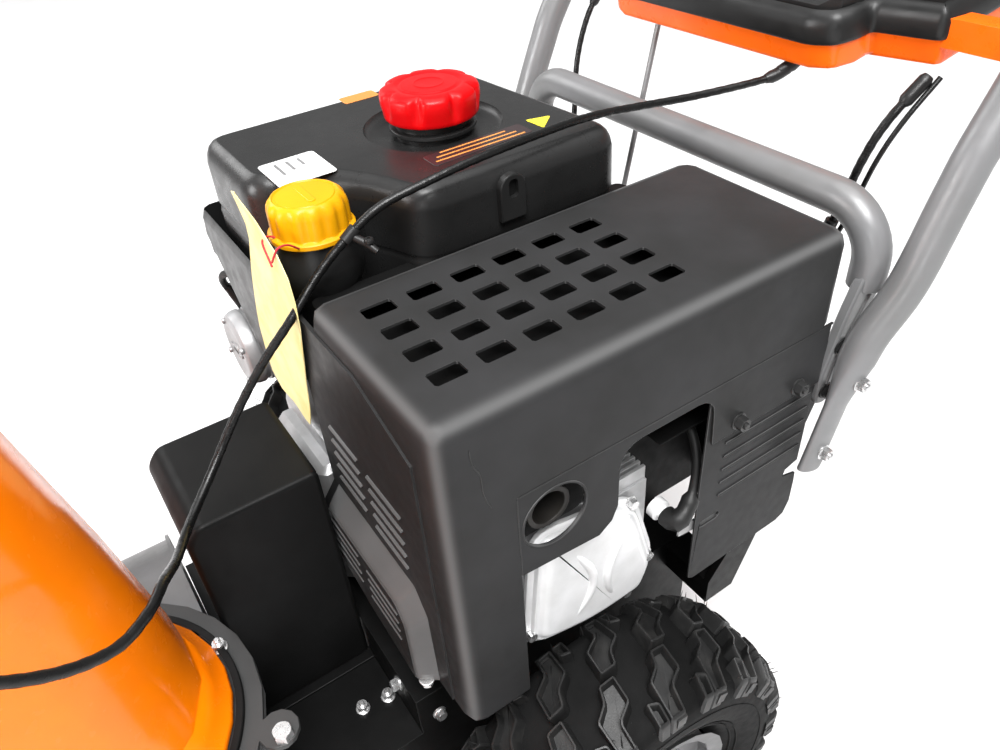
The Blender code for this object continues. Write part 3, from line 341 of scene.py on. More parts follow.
# ---- materials ----
def surface(name, colours, rough, metal=0.0, grain=900.0, bump=0.05, mottle=18.0, coat=0.0,
            cells=False, stretch=(1, 1, 1), specular=0.5, dust=None, wear=None):
    """Procedural paint, metal or plastic: mottled colour, uneven gloss and a fine relief.

    dust is (colour, scale, amount); the last, (colour, amount), paints a highlight on the rounded
    edges.
    """
    mat = bpy.data.materials.new(name)
    mat.use_nodes = True
    tree = mat.node_tree
    link = tree.links.new
    shader = tree.nodes["Principled BSDF"]
    shader.inputs["Metallic"].default_value = metal
    shader.inputs["Coat Weight"].default_value = coat
    shader.inputs["Coat Roughness"].default_value = 0.12
    shader.inputs["Specular IOR Level"].default_value = specular

    def node(what, source=None, **values):
        """A node fed by a source, with its inputs set: From_Min stands for From Min."""
        made = tree.nodes.new("ShaderNode" + what)
        for key, value in values.items():
            made.inputs[key.replace("_", " ")].default_value = value
        if source is not None:
            link(source, made.inputs[0])
        return made

    def blend(amount, first, second):
        """A colour moved by an amount towards a second one."""
        mix = node("Mix")
        mix.data_type = "RGBA"
        mix.inputs["B"].default_value = (*second, 1)
        link(amount, mix.inputs["Factor"])
        link(first, mix.inputs["A"])
        return mix.outputs["Result"]

    where = node("TexCoord").outputs["Object"]
    drawn = node("Mapping", where, Scale=stretch).outputs[0]
    ramp = node("ValToRGB", node("TexNoise", drawn, Scale=mottle, Detail=6).outputs["Fac"])
    for stop, position, shade in zip(ramp.color_ramp.elements, (0.36, 0.66), colours):
        stop.position = position
        stop.color = (*shade, 1)
    colour = ramp.outputs["Color"]
    if dust:
        specks = node("TexNoise", where, Scale=dust[1], Detail=8).outputs["Fac"]
        mask = node("MapRange", specks, From_Min=0.5, From_Max=0.75, To_Max=dust[2])
        colour = blend(mask.outputs[0], colour, dust[0])
    # Painted highlight: lighter colour where the normal leans away from the axes, on rounded edges
    if wear:
        turn = node("VectorMath", node("NewGeometry").outputs["Normal"])
        turn.operation = "ABSOLUTE"
        most, *others = node("SeparateXYZ", turn.outputs[0]).outputs
        for other in others:
            larger = node("Math", most)
            larger.operation = "MAXIMUM"
            link(other, larger.inputs[1])
            most = larger.outputs[0]
        edge = node("MapRange", most, From_Min=0.99, From_Max=0.72, To_Max=wear[1])
        edge.interpolation_type = "SMOOTHSTEP"
        colour = blend(edge.outputs[0], colour, wear[0])
    link(colour, shader.inputs["Base Color"])

    spread = 0.06
    cloud = node("TexNoise", drawn, Scale=mottle * 5, Detail=5).outputs["Fac"]
    gloss = node("MapRange", cloud, From_Min=0.3, From_Max=0.7,
                 To_Min=max(rough - spread, 0.02), To_Max=rough + spread)
    link(gloss.outputs[0], shader.inputs["Roughness"])

    fine = node("TexVoronoi" if cells else "TexNoise", drawn, Scale=grain)
    relief = node("Bump", Strength=bump, Distance=0.0004)
    link(fine.outputs["Distance" if cells else "Fac"], relief.inputs["Height"])
    link(relief.outputs[0], shader.inputs["Normal"])
    return mat


def grey(v, tint=0.0):
    """A grey, a little bluer with a tint."""
    return (v, v, v * (1 + tint))


PAINT = {}


def paint(key, name, dark, light, rough, **more):
    """Keep a surface under its key."""
    PAINT[key] = surface(name, (dark, light), rough, **more)


# The cover's rounded edges get a painted highlight
paint("charcoal", "charcoal_enamel", grey(0.022), grey(0.028, 0.03), 0.4, grain=1500, bump=0.08,
      specular=0.05, wear=(grey(0.095), 0.85))
paint("frame", "black_enamel", grey(0.003), grey(0.005), 0.42, grain=1500, bump=0.08,
      specular=0.12)
paint("black_plastic", "black_moulding", grey(0.008), grey(0.012), 0.36, grain=1800, bump=0.1,
      cells=True, specular=0.32)
# The tank's shoulders get a weaker painted highlight
paint("tank", "tank_moulding", grey(0.009), grey(0.013), 0.3, grain=2400, bump=0.08,
      cells=True, specular=0.32, wear=(grey(0.04), 0.3))
paint("belt_cover", "cover_moulding", grey(0.003), grey(0.005), 0.44, grain=1600, bump=0.12,
      cells=True, specular=0.11)
paint("orange", "orange_enamel", (0.88, 0.12, 0.003), (0.93, 0.138, 0.004), 0.3, grain=700,
      bump=0.02, coat=0.15, specular=0.3)
paint("chute", "chute_enamel", (0.82, 0.168, 0.0006), (0.88, 0.19, 0.0009), 0.24, grain=600,
      bump=0.02, coat=0.3, specular=0.2)
paint("silver_paint", "grey_enamel", grey(0.1), grey(0.13, 0.03), 0.42, metal=0.2, grain=1400,
      bump=0.08)
paint("collar", "dark_grey_enamel", grey(0.028), grey(0.038), 0.42, grain=1400, bump=0.08,
      specular=0.3)
paint("grey_paint", "tube_enamel", grey(0.15), grey(0.175, 0.02), 0.36, metal=0.2, grain=1600)
paint("cast_aluminium", "cast_metal", grey(0.34), grey(0.46, 0.02), 0.42, metal=0.55, grain=520,
      bump=0.3, mottle=40)
paint("bright_cast", "polished_casting", grey(0.62), grey(0.74, 0.01), 0.34, metal=0.2, grain=420,
      bump=0.12, mottle=30)
paint("starter", "starter_casting", grey(0.26), grey(0.34, 0.02), 0.38, metal=0.45, grain=600,
      bump=0.12, mottle=30)
paint("steel", "zinc_plate", grey(0.58), grey(0.74), 0.28, metal=0.9, bump=0.08, mottle=60,
      stretch=(1, 1, 0.25))
paint("dark_steel", "dark_coated_steel", grey(0.03), grey(0.055), 0.44, metal=0.6, grain=800,
      bump=0.15, mottle=35)
paint("muffler", "heated_steel", (0.008, 0.0075, 0.007), (0.018, 0.016, 0.014), 0.5, metal=0.2,
      grain=500, bump=0.2, mottle=24, specular=0.3)
# Near-black paint for sheets, rings and floors placed where there is only shade: painted shade
paint("shadow", "painted_shade_coating", grey(0.004), grey(0.007), 0.6, bump=0.15, specular=0.12)
# Ledge paint is a lighter copy of the charcoal cover paint: painted highlight on the up-facing
# bulge ledge
paint("ledge", "ledge_painted_highlight", grey(0.07), grey(0.085), 0.4, grain=1500, bump=0.08, specular=0.2)
# Louvre paint is a lighter copy of the charcoal cover paint: painted highlight on the louvre lips
paint("louvre", "louvre_painted_highlight", grey(0.06), grey(0.08), 0.36, grain=1500, bump=0.08, specular=0.2)
paint("rubber", "soft_rubber", grey(0.007), grey(0.012), 0.5, grain=1300, bump=0.2, specular=0.35)
paint("jacket", "cable_jacket", grey(0.003), grey(0.006), 0.28, bump=0.35, specular=0.32,
      stretch=(1, 1, 3))
paint("tyre", "tyre_rubber", grey(0.007), grey(0.012), 0.46, grain=700, bump=0.3, mottle=26,
      dust=((0.05, 0.048, 0.045), 60, 0.3), specular=0.38)
# A darker, duller copy of the tyre rubber for the carcass between the lugs: painted shade in the
# grooves
paint("groove", "tyre_groove_painted_shade", grey(0.003), grey(0.006), 0.7, grain=700, bump=0.3,
      mottle=26, specular=0.12)
paint("red_plastic", "red_moulding", (0.5, 0.0006, 0.002), (0.56, 0.001, 0.003), 0.36, grain=1500,
      bump=0.04, specular=0.18)
paint("yellow_plastic", "yellow_moulding", (0.6, 0.262, 0.0006), (0.66, 0.3, 0.001), 0.36,
      grain=1500, bump=0.04, specular=0.25)
paint("label", "label_film", grey(0.6), grey(0.68), 0.36, grain=1800)
paint("label_grey", "label_print", grey(0.12), grey(0.2), 0.4, grain=1800)
paint("label_orange", "label_orange", (0.55, 0.2, 0.04), (0.62, 0.25, 0.06), 0.38, grain=1800)
paint("label_yellow", "label_yellow", (0.62, 0.52, 0.02), (0.68, 0.58, 0.04), 0.38, grain=1800)
paint("label_dark", "label_dark_film", (0.02, 0.012, 0.013), (0.028, 0.016, 0.017), 0.3,
      grain=1800)
paint("paper", "tag_card", (0.74, 0.63, 0.26), (0.8, 0.72, 0.38), 0.62, grain=2600, bump=0.2,
      mottle=45, specular=0.2)
paint("thread", "red_thread", (0.4, 0.01, 0.02), (0.5, 0.02, 0.03), 0.7, grain=3000, bump=0.5)
paint("porcelain", "plug_ceramic", grey(0.65), grey(0.74), 0.2, bump=0.03, coat=0.6)

# The slot that each paint fills
SLOT_OF = {key: key for key in (
    "charcoal", "black_plastic", "orange", "silver_paint", "grey_paint", "cast_aluminium", "steel",
    "dark_steel", "rubber", "tyre", "red_plastic", "yellow_plastic")}
SLOT_OF.update({
    "frame": "charcoal", "louvre": "charcoal", "ledge": "charcoal", "tank": "black_plastic",
    "belt_cover": "black_plastic", "chute": "orange", "collar": "silver_paint",
    "bright_cast": "cast_aluminium", "starter": "cast_aluminium", "muffler": "dark_steel",
    "shadow": "dark_steel", "jacket": "rubber", "groove": "tyre"})


# ---- CAD nodes carried over as finer copies ----
def dress(node, paint, bevel=0.0, smooth=36, limit=38):
    """A CAD node's surface with joined points, smooth curves and softened edges."""
    source = NODES[node]
    mesh = source.data.copy()
    bm = bmesh.new()
    bm.from_mesh(mesh)
    bmesh.ops.remove_doubles(bm, verts=bm.verts, dist=2e-6)
    bmesh.ops.dissolve_limit(bm, angle_limit=radians(1.2), verts=bm.verts, edges=bm.edges)
    bm.to_mesh(mesh)
    bm.free()
    show(node + "_shell", mesh, paint, source["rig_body"], node, smooth, bevel, limit)


# The bevel of each dressed node, under its paint
DRESSED = {
    "charcoal": {"side_plate": 0.5, "rear_plate": 0.5},
    "frame": {"tractor_frame": 0.6},
    "black_plastic": {"blower_housing": 0.5, "tank_tray": 1.0, "oil_neck": 0.0,
                      "carburetor_box": 0.8, "choke_knob": 0.5, "recoil_handle": 0.0,
                      "auger_lever": 0.0, "traction_lever": 0.0, "console_cover": 0.6},
    "orange": {"auger_housing": 0.5, "auger_left": 0.4, "auger_right": 0.4, "impeller": 0.5,
               "console_tray": 0.8},
    "silver_paint": {"impeller_housing": 0.5, "rim_left": 0.6, "rim_right": 0.6},
    "collar": {"chute_ring": 0.5},
    "grey_paint": {"shift_rod": 0.0},
    "cast_aluminium": {"auger_gearbox": 0.8, "crankcase": 0.8, "cylinder_head": 0.4},
    "steel": {"auger_pulley": 0.4, "auger_shaft": 0.3, "axle_shaft": 0.3, "crankshaft": 0.4,
              "hex_shaft": 0.3, "friction_disc": 0.4},
    "dark_steel": {"deflector_lever": 0.0, "shift_lever": 0.0, "scraper_bar": 0.4,
                   "skid_shoe_left": 0.8, "skid_shoe_right": 0.8},
    "muffler": {"muffler": 0.8},
    "rubber": {"auger_belt": 0.4, "traction_belt": 0.4, "friction_wheel": 0.5, "primer_bulb": 0.4},
}


def carve(shape, *tools):
    """A shape with others cut out of it."""
    holders = []
    for given in (shape, *tools):
        mesh = bpy.data.meshes.new("lump")
        mesh.from_pydata([tuple(p) for p in given.points], [], given.faces)
        weld(mesh, 1e-4)
        holders.append(add_object("lump", mesh))
    body = holders[0]
    for cutter in holders[1:]:
        modifier = body.modifiers.new("cut", "BOOLEAN")
        modifier.operation = "DIFFERENCE"
        modifier.solver = "EXACT"
        modifier.object = cutter
    graph = bpy.context.evaluated_depsgraph_get()
    mesh = bpy.data.meshes.new_from_object(body.evaluated_get(graph))
    result = Shape().add([v.co[:] for v in mesh.vertices],
                         [tuple(f.vertices) for f in mesh.polygons])
    for holder in holders:
        bpy.data.objects.remove(holder)
    return result


def make_carried_over():
    for paint, nodes in DRESSED.items():
        for node, bevel in nodes.items():
            dress(node, paint, bevel)
    dress("engine_cover", "charcoal", 0.7, smooth=48, limit=62)
    dress("chute", "chute", smooth=58)
    dress("chute_deflector", "chute", 0.4, smooth=50)


def make_belt_cover():
    """Open box with soft corners, hollow from below and behind."""
    side = [(-160, 227.4), (-263, 227.4), (-263, 447), (-252, 460), (-160, 460)]
    hollow = [(-151, 218.4), (-260.5, 218.4), (-260.5, 446), (-251, 457.5), (-151, 457.5)]
    half = 53
    rows = [(half, 4.5), (half - 0.6, 2.4), (half - 2, 0.8), (half - 4.5, 0)]
    outer = skin([[(x, y, z) for y, z in inset(rounded(side, 6), amount)] for x, amount in
                  [(-x, amount) for x, amount in rows] + rows[::-1]])
    inner = skin([[(x, y, z) for y, z in rounded(hollow, 4, 2)] for x in (2.5 - half, half - 2.5)])
    make("belt_cover_shell", carve(outer, inner), "belt_cover", "belt_cover", 34)


def make_tank():
    """Blow moulded tank: rounded shoulders, a waist seam and the filler recess."""
    raw = [(-168, -130), (-54, -130), (-40, -86), (0, -60), (44, -44), (44, 135), (-168, 118)]
    base = rounded(raw, 24, 6)
    rows = [(532, 7), (533.5, 3), (538, 0.6), (543, 0), (583, 0), (585, 1.2), (589, 1.2),
            (591, 0), (624, 0.4), (630, 1.8), (634.8, 4.4), (638, 7.8), (639.6, 11.4),
            (TANK_TOP, 13)]
    body = skin([[(x, y, z) for x, y in inset(base, amount)] for z, amount in rows])
    filler = (FUEL_X, FUEL_Y, 0)
    recess = turned([(0.1, 633.6), (46, 633.6), (51, 634.4), (54, 637), (55.5, 641), (57, 646),
                     (0.1, 646)], filler, "Z", 64)
    body = carve(body, recess)
    neck = turned([(24, 600), (30, 600), (30, 637), (33, 637.5), (34.4, 639), (34.4, 641),
                   (33, 641.9), (30, 642), (30, 651), (29, 654), (24, 654)], filler, "Z", 64,
                  looped=True)
    bore = turned([(0.1, 560), (24, 560), (24, 650), (0.1, 650)], filler, "Z", 64)
    make("tank_moulding", carve(body, bore).merge(neck), "tank", "fuel_tank", 34)


# ---- wheels ----
TYRE_X, AXLE_Y, AXLE_Z, TYRE_R = 242.5, -28.0, 162.0, 162.0
LUG_COUNT, HAIR_COUNT = 20, 120
CROWN_HALF, CROWN_DROP = 40, 5.0
LUG = [(-17, 2), (-1, 2), (4, 14), (17, 22), (19, 51), (3, 51), (1, 33), (-14, 25)]
SMALL_LUG = [(-6, 36), (5, 32), (6, 51), (-6, 51)]


def tread_radius(a, deep=0.0):
    """Tread radius at a distance from the middle line: a soft crown, then a slope."""
    a = abs(a)
    if a < CROWN_HALF:
        return TYRE_R - CROWN_DROP * (a / CROWN_HALF) ** 2.4 - deep
    return TYRE_R - CROWN_DROP - (a - CROWN_HALF) * 0.75 - deep


def lug_shape(outline, x0, angle, side):
    """One tread block: a sloped wall and a slightly hollow top."""
    rows = ((15.0, -1.0), (5.0, -0.2), (1.0, 0.3), (0.0, 1.0), (0.0, 2.3), (0.9, 2.8), (7.5, 3.2))
    rings = []
    for deep, amount in rows:
        ring = []
        for s, a in inset(rounded(outline, 1.8, 1), amount):
            r = tread_radius(a, deep)
            turn = angle + side * s / TYRE_R
            ring.append((x0 + side * a, AXLE_Y + r * cos(turn), AXLE_Z + r * sin(turn)))
        rings.append(ring)
    return skin(rings)


def make_tyre(side_name, sign):
    """Carcass, lugs and moulding hairs of a tyre, and the bolts of its wheel."""
    x0 = sign * TYRE_X
    hub = (0, AXLE_Y, AXLE_Z)
    section = [(80, 33), (86, 37.5), (92, 41), (104, 47.5), (116, 50.8), (128, 51.2), (138, 49.6),
               (143, 46), (146, 40), (147.6, 28), (148.4, 12)]
    loop = section + [(r, -a) for r, a in reversed(section)]
    loop += [(78, -31), (130, -36), (143, -24), (143, 24), (130, 36), (78, 31)]
    body = turned([(r, x0 + a) for r, a in loop], hub, "X", 96, looped=True)
    for r, a in ((95, 43.2), (100, 45.8), (124, 51.1)):
        for s in (-1, 1):
            low, high = x0 + s * (a - 1.2), x0 + s * (a + 0.7)
            bead = [(r - 0.9, low), (r - 0.5, high), (r + 0.5, high), (r + 0.9, low)]
            body.merge(turned(bead, hub, "X", 96, looped=True))
    # The carcass takes the groove paint: painted shade between the lugs
    make("tyre_carcass_" + side_name, body, "groove", "tyre_" + side_name, 32, "axle")
    body = Shape()
    pitch = TAU / LUG_COUNT
    for k in range(LUG_COUNT):
        for side in (-1, 1):
            angle = pitch * (k + (0.5 if side > 0 else 0.0))
            body.merge(lug_shape(LUG, x0, angle, side))
            body.merge(lug_shape(SMALL_LUG, x0, angle + side * pitch * 0.5, side))
            knob = []
            for r, a, w in ((147, 46, 6), (146, 52.1, 5), (137, 52.3, 5), (133, 50.0, 4)):
                for s in (-1, 1):
                    turn = angle + side * (8 / TYRE_R) + s * w / TYRE_R
                    knob.append((x0 + side * a, AXLE_Y + r * cos(turn),
                                 AXLE_Z + r * sin(turn)))
            body.add(knob, [(0, 1, 3, 2), (2, 3, 5, 4), (4, 5, 7, 6), (0, 2, 4, 6), (1, 7, 5, 3),
                            (0, 6, 7, 1)])
    make("tyre_tread_" + side_name, body, "tyre", smooth=32, body="axle")

    hairs = Shape()
    for k in range(HAIR_COUNT):
        angle = TAU * (k + random.random()) / HAIR_COUNT
        a = random.choice((-1, 1)) * random.uniform(30, 50)
        r = tread_radius(a, 0.8)
        length = random.uniform(3, 8)
        base = Vector((x0 + a, AXLE_Y + r * cos(angle), AXLE_Z + r * sin(angle)))
        out = Vector((0.5 * copysign(1, a), cos(angle), sin(angle))).normalized()
        lean = Vector((random.uniform(-0.4, 0.4),) * 3)
        tip = base + (out + lean * 0.6).normalized() * length
        reach = Vector((0, tip.y - AXLE_Y, tip.z - AXLE_Z)).length
        if reach > TYRE_R + 4 or tip.z < 1 or abs(tip.x - x0) > 52:
            continue
        hairs.merge(tube([base - out * 1.5, base.lerp(tip, 0.5), tip], [0.42, 0.34, 0.12], 5))
    make("tyre_hairs_" + side_name, hairs, "rubber", smooth=60, body="axle")

    trim = Shape()
    spots = [(x0 + sign * 21, y, z) for y, z in circle((AXLE_Y, AXLE_Z), 46, 4, 0.4)]
    trim.merge(hex_bolts(spots, "X", sign, 5.5))
    end = x0 + sign * 45
    trim.merge(tube([(end, AXLE_Y, AXLE_Z + 26), (end, AXLE_Y, AXLE_Z - 14)], 2.4, 12))
    ring = [(end, y, z) for y, z in circle((AXLE_Y, AXLE_Z + 36), 9, 28, -TAU / 4)]
    trim.merge(tube(ring, 1.2, 8))
    valve = [(x0 + sign * 30, AXLE_Y - 60, AXLE_Z), (x0 + sign * 40, AXLE_Y - 58, AXLE_Z)]
    trim.merge(tube(valve, [3.4, 2.6], 12))
    make("wheel_trim_" + side_name, trim, "steel", smooth=35, body="axle")


# ---- engine ----
def make_caps():
    """Scalloped fuel cap and fluted dipstick cap with its grip bar."""
    centre = (FUEL_X, FUEL_Y, 0)
    rows = [(30.8, 648.2), (35.9, 648.4), (37.0, 649.4, 0.2), (37.5, 652, 0.8), (37.9, 655.5, 2.0),
            (38.6, 659, 3.4), (38.9, 663, 4.2), (38.6, 666.6, 4.6), (37.6, 668.8, 4.8),
            (35.4, 670.3, 4.4), (32.4, 671.2, 3.0), (29.0, 671.5, 1.2), (26.4, 671.2, 0.2),
            (24.8, 670.4), (23.2, 670.4), (22.2, 671.2), (20.8, 671.5), (12.5, 671.5),
            (11.9, 672), (10.9, 672), (10.3, 671.5), (0.1, 671.5)]
    lid = turned(rows, centre, "Z", 192, 8, 5)
    make("fuel_lid", lid, "red_plastic", "fuel_cap", 44, "fuel_lid")

    centre = (0, OIL_Y, 0)
    rows = [(26.5, 617.9), (29.2, 618), (30, 618.8), (30, 621.4), (29.2, 622.2), (28.0, 622.6),
            (27.6, 623.4, 1.0), (27.8, 625, 1.5), (27.6, 637, 1.5), (26.8, 640.8, 1.3),
            (25.2, 643.4, 0.8), (23.4, 645.0, 0.2), (22.2, 645.4), (21.4, 644.4),
            (20.2, 644.4), (19.6, 645.2), (0.1, 645.6)]
    lid = turned(rows, centre, "Z", 168, 14, 1.5)
    lid.merge(tube([(0, OIL_Y, 500), (0, OIL_Y, 560), (0, OIL_Y, 617)], [2.2, 2.6, 2.8], 12))
    make("oil_lid", lid, "yellow_plastic", "oil_cap", 38, "oil_lid")
    bar = pane(-14, OIL_Y - 2.6, 14, OIL_Y + 2.6, 2.2, 3)
    grip = slab(bar, "Z", 644.8, 646, 0.3)
    make("oil_lid_bar", grip, "yellow_plastic", body="oil_lid")


def make_rocker_cover():
    """Bright casting: flange, crowned body and raised curved ribs."""
    raw = [(-80, 330), (-68, 452), (26, 432), (50, 350), (38, 316), (-20, 314)]
    outline = rounded(raw, 22, 6)
    rows = [(186.4, 0.6), (187.0, 0), (190.2, 0), (190.8, 0.7), (190.9, 3.4), (191.6, 4.6),
            (194.6, 5.2), (195.2, 6.0), (194.8, 7.4), (195.6, 9.0), (197.6, 10.4), (199.2, 12.6),
            (200.2, 16.0)]
    shape = skin([[(x, y, z) for y, z in inset(outline, amount)] for x, amount in rows])
    steps = [i / 20 for i in range(21)]
    for start, bend in ((-40, 16), (2, -12)):
        path = [(199.6 - 2.5 * (2 * t - 1) ** 2, start + 8 * t + bend * sin(t * 3.6),
                 338 + 84 * t) for t in steps]
        radii = [1.2 + 3.0 * sin(pi * t) ** 0.6 for t in steps]
        shape.merge(tube(path, radii, 16))
    make("rocker_cover_casting", shape, "bright_cast", "rocker_cover", 46)
    spots = ((-70, 438), (-74, 344), (20, 321), (42, 352), (22, 426))
    bolts = hex_bolts([(190.4, y, z) for y, z in spots], "X", 1, 4.0)
    make("rocker_cover_bolts", bolts, "steel")


def make_starter():
    """Starter casting with its end cap, lead and boot."""
    x, z = -167.0, 438.0
    rows = [(0.1, -151), (7, -151), (8, -149.6), (22, -149.6), (26, -150.6), (31, -150.4),
            (34.6, -148), (36.4, -143), (36.8, -138), (36.2, -136.4), (35.2, -136), (35.2, -133),
            (37, -132.4), (37, -70), (36, -66), (35, -63), (33, -62), (33, -34), (28, -32),
            (14, -31), (14, -12), (11, -10), (0.1, -10)]
    body = turned(rows, (x, 0, z), "Y", 64)
    for u, v in circle((x, z), 30, 4, 0.5):
        body.merge(cap_screw((u, -151, v), "Y", -1, 3.0))
    body.merge(slab(pane(x - 15, z - 2.2, x + 15, z + 2.2, 1.6), "Y", -149.4, -151, 0.3))
    body.merge(block((x + 20, -88, z - 34), (-96.4, -48, z - 10), 1.2))
    make("starter_casting", body, "starter", "electric_starter", 36)
    loop = curve_through([(x - 20, -128, z + 26), (x - 24, -134, z + 44), (x - 22, -139, z + 62),
                          (x - 10, -137, z + 74), (x + 4, -128, z + 72), (x + 10, -112, z + 58),
                          (x + 10, -100, z + 32)], 4)
    make("starter_lead", tube(loop, 3.4, 12), "rubber")
    boot = tube([(x - 18, -125, z + 24), (x - 20, -128, z + 34), (x - 23, -133, z + 46),
                 (x - 24, -136, z + 54)], [6.5, 6.5, 5.2, 4.0], 20)
    make("starter_boot", boot, "black_plastic")


def louvre_lip(face, z, top, shoulder):
    """Side view of one pressed louvre."""
    return rounded([(face + 0.4, z + top), (face - shoulder, z + top), (face - 2.0, z - 0.3),
                    (face - 1.9, z - 0.8), (face + 0.4, z - 0.5)], 0.3, 1)


def make_cover_details():
    """Louvres, ribs, screws and seams of the hot air cover."""
    louvres = Shape()
    for face, count, pitch, lip, banks in (
            (-142.6, 5, 13.6, (0.9, 0.4), ((50, 95, 494), (108, 156, 490))),
            (-156.0, 4, 11.4, (0.8, 0.6), ((36, 86, 393), (99, 148, 390)))):
        for x0, x1, z0 in banks:
            for row in range(count):
                side = louvre_lip(face, z0 - pitch * row, *lip)
                louvres.merge(slab(side, "X", x0 - row, x1 - row, 0.3))
    # The louvres take the lighter louvre paint, a painted highlight on their lips
    make("cover_louvres", louvres, "louvre", smooth=40)

    # The lower bulge: ledge walls from the cover's front out to a flat face; the walls take the
    # lighter ledge paint, a painted highlight
    front = [(32.4, 343), (84, 327), (158, 315), (158, 386), (147, 403), (32.4, 403)]
    base = [(30.4, 342.6), (84, 326), (168.2, 314), (168.2, 397.4), (154.8, 419.4), (30.4, 419.4)]
    near, far = rounded(front, 5, 4), rounded(base, 3, 4)
    rings = []
    for t, amount, y in ((0, 0, -141.4), (0.8, 0, -153.4), (0.94, 0.4, -155.5), (1, 1.4, -156.4),
                         (1, 3.4, -156.5)):
        mixed = [tuple(Vector(p).lerp(Vector(q), t)) for p, q in zip(far, near)]
        rings.append([(x, y, z) for x, z in inset(mixed, amount)])
    make("bulge_ledge", skin(rings), "ledge", smooth=40)
    make("bulge_face", slab(inset(near, 1.8), "Y", -155.6, -156.9, 0.4), "charcoal")

    # Strips that close the belt cover's foot on the frame
    foot = Shape()
    for x0, x1, y0, y1 in ((49, 61.5, -270.5, -159.5), (-61.5, -49, -270.5, -159.5),
                           (-61.5, 61.5, -271, -260)):
        foot.merge(block((x0, y0, 227.1), (x1, y1, 229.4), 0.5))
    make("belt_cover_foot", foot, "belt_cover")

    # Lines where the cover's sheets meet, and a gap at its front corner
    seams = Shape()
    for line in (pane(-89, 521.2, 195, 522.6), pane(-90.6, 470, -89.4, 521)):
        seams.merge(slab(line, "X", SIDE_X - 1.5, SIDE_X + 0.35, 0.15))
    gap = [(-118, 578), (-117, 566), (-113, 556), (-112, 540), (-108, 526)]
    seams.merge(tube(curve_through([(SIDE_X - 0.1, y, z) for y, z in gap], 3), 0.55, 8))
    make("cover_seams", seams, "rubber", smooth=36)

    ribs = Shape()
    for k in range(5):
        z = 456 - 14 * k
        ribs.merge(slab(pane(96, z - 1.5, 190, z + 1.5, 1.4), "X", 209.2, 210.9, 0.5))
    rim = circle((OUTLET_Y, OUTLET_Z), 25.2, 64)
    ribs.merge(tube([(SIDE_X, y, z) for y, z in rim + rim[:1]], 0.9, 8))
    tab = rounded([(178, 474), (194.5, 478), (195.5, 508), (180, 508)], 3, 2)
    ribs.merge(slab(tab, "X", 209.7, 211.6, 0.4))
    make("plate_ribs", ribs, "charcoal", smooth=40)

    bolts = hex_bolts([(SIDE_X, 104, 476), (SIDE_X, 167, 476)], "X", 1, 5.2, stud=2.0)
    make("plate_bolts", bolts, "dark_steel")
    spots = ((118, 262), (-118, 262), (134, 120), (-134, 120))
    bright = hex_bolt((160, -150, 316), "Z", -1, 4.6)
    bright.merge(hex_bolts([(x, -160, z) for x, z in spots], "Y", -1, 5.0))
    make("frame_bolts", bright, "steel")


def make_tank_details():
    """Eye lug, blank labels and plain bars on the tank."""
    arch = [(11 + 11 * cos(a), 24 + 11 * sin(a))
            for a in [pi * i / 12 for i in range(13)]]
    ear = [(0, 0), (22, 0)] + arch
    lug = slab([(y + 17, z + 600) for y, z in ear], "X", 43.0, 49.5, 0.8)
    hole = pane(24, 617, 32, 631, 3.9, 4)
    bore = slab(hole, "X", 45.4, 52, 0.05)
    make("tank_ear", carve(lug, bore), "black_plastic", smooth=36)
    # Near-black floor behind the hole: painted shade in the lug's eye
    floor = slab(inset(hole, -0.4), "X", 44.8, 45.6, 0.1)
    make("tank_eye_shade", floor, "shadow", smooth=36)

    def film(outline, thick=0.35):
        return slab(outline, "Z", TANK_TOP - 0.1, TANK_TOP + thick, 0.1)

    def ink(outline):
        return slab(outline, "Z", TANK_TOP + 0.2, TANK_TOP + 0.5, 0.08)

    make("label_white", film(pane(-76, -112, -30, -68, 3.5, 4)), "label")
    make("label_strip", film(pane(-163, -6, -147, 26, 3.5, 4)), "label_orange")
    bars = Shape()
    for k in range(3):
        y = -102 + 9 * k
        bars.merge(ink(pane(-70, y, -48 - 4 * k, y + 2.4, 1)))
    make("label_bars", bars, "label_grey")
    dark = rounded([(-8, -12), (12, -12), (8, 76), (-12, 76)], 3, 3)
    make("label_block", film(dark, 0.3), "label_dark")
    lines = Shape()
    for k, (y0, y1) in enumerate(((-8, 70), (-4, 66), (2, 60))):
        x = 6 - 6 * k
        lines.merge(ink([(x - 0.8, y0), (x + 0.8, y0), (x + 0.4, y1), (x - 1.2, y1)]))
    make("label_lines", lines, "label_orange")
    make("label_triangle", film(rounded([(-14, 84), (8, 86), (-8, 104)], 2.5, 3)), "label_yellow")


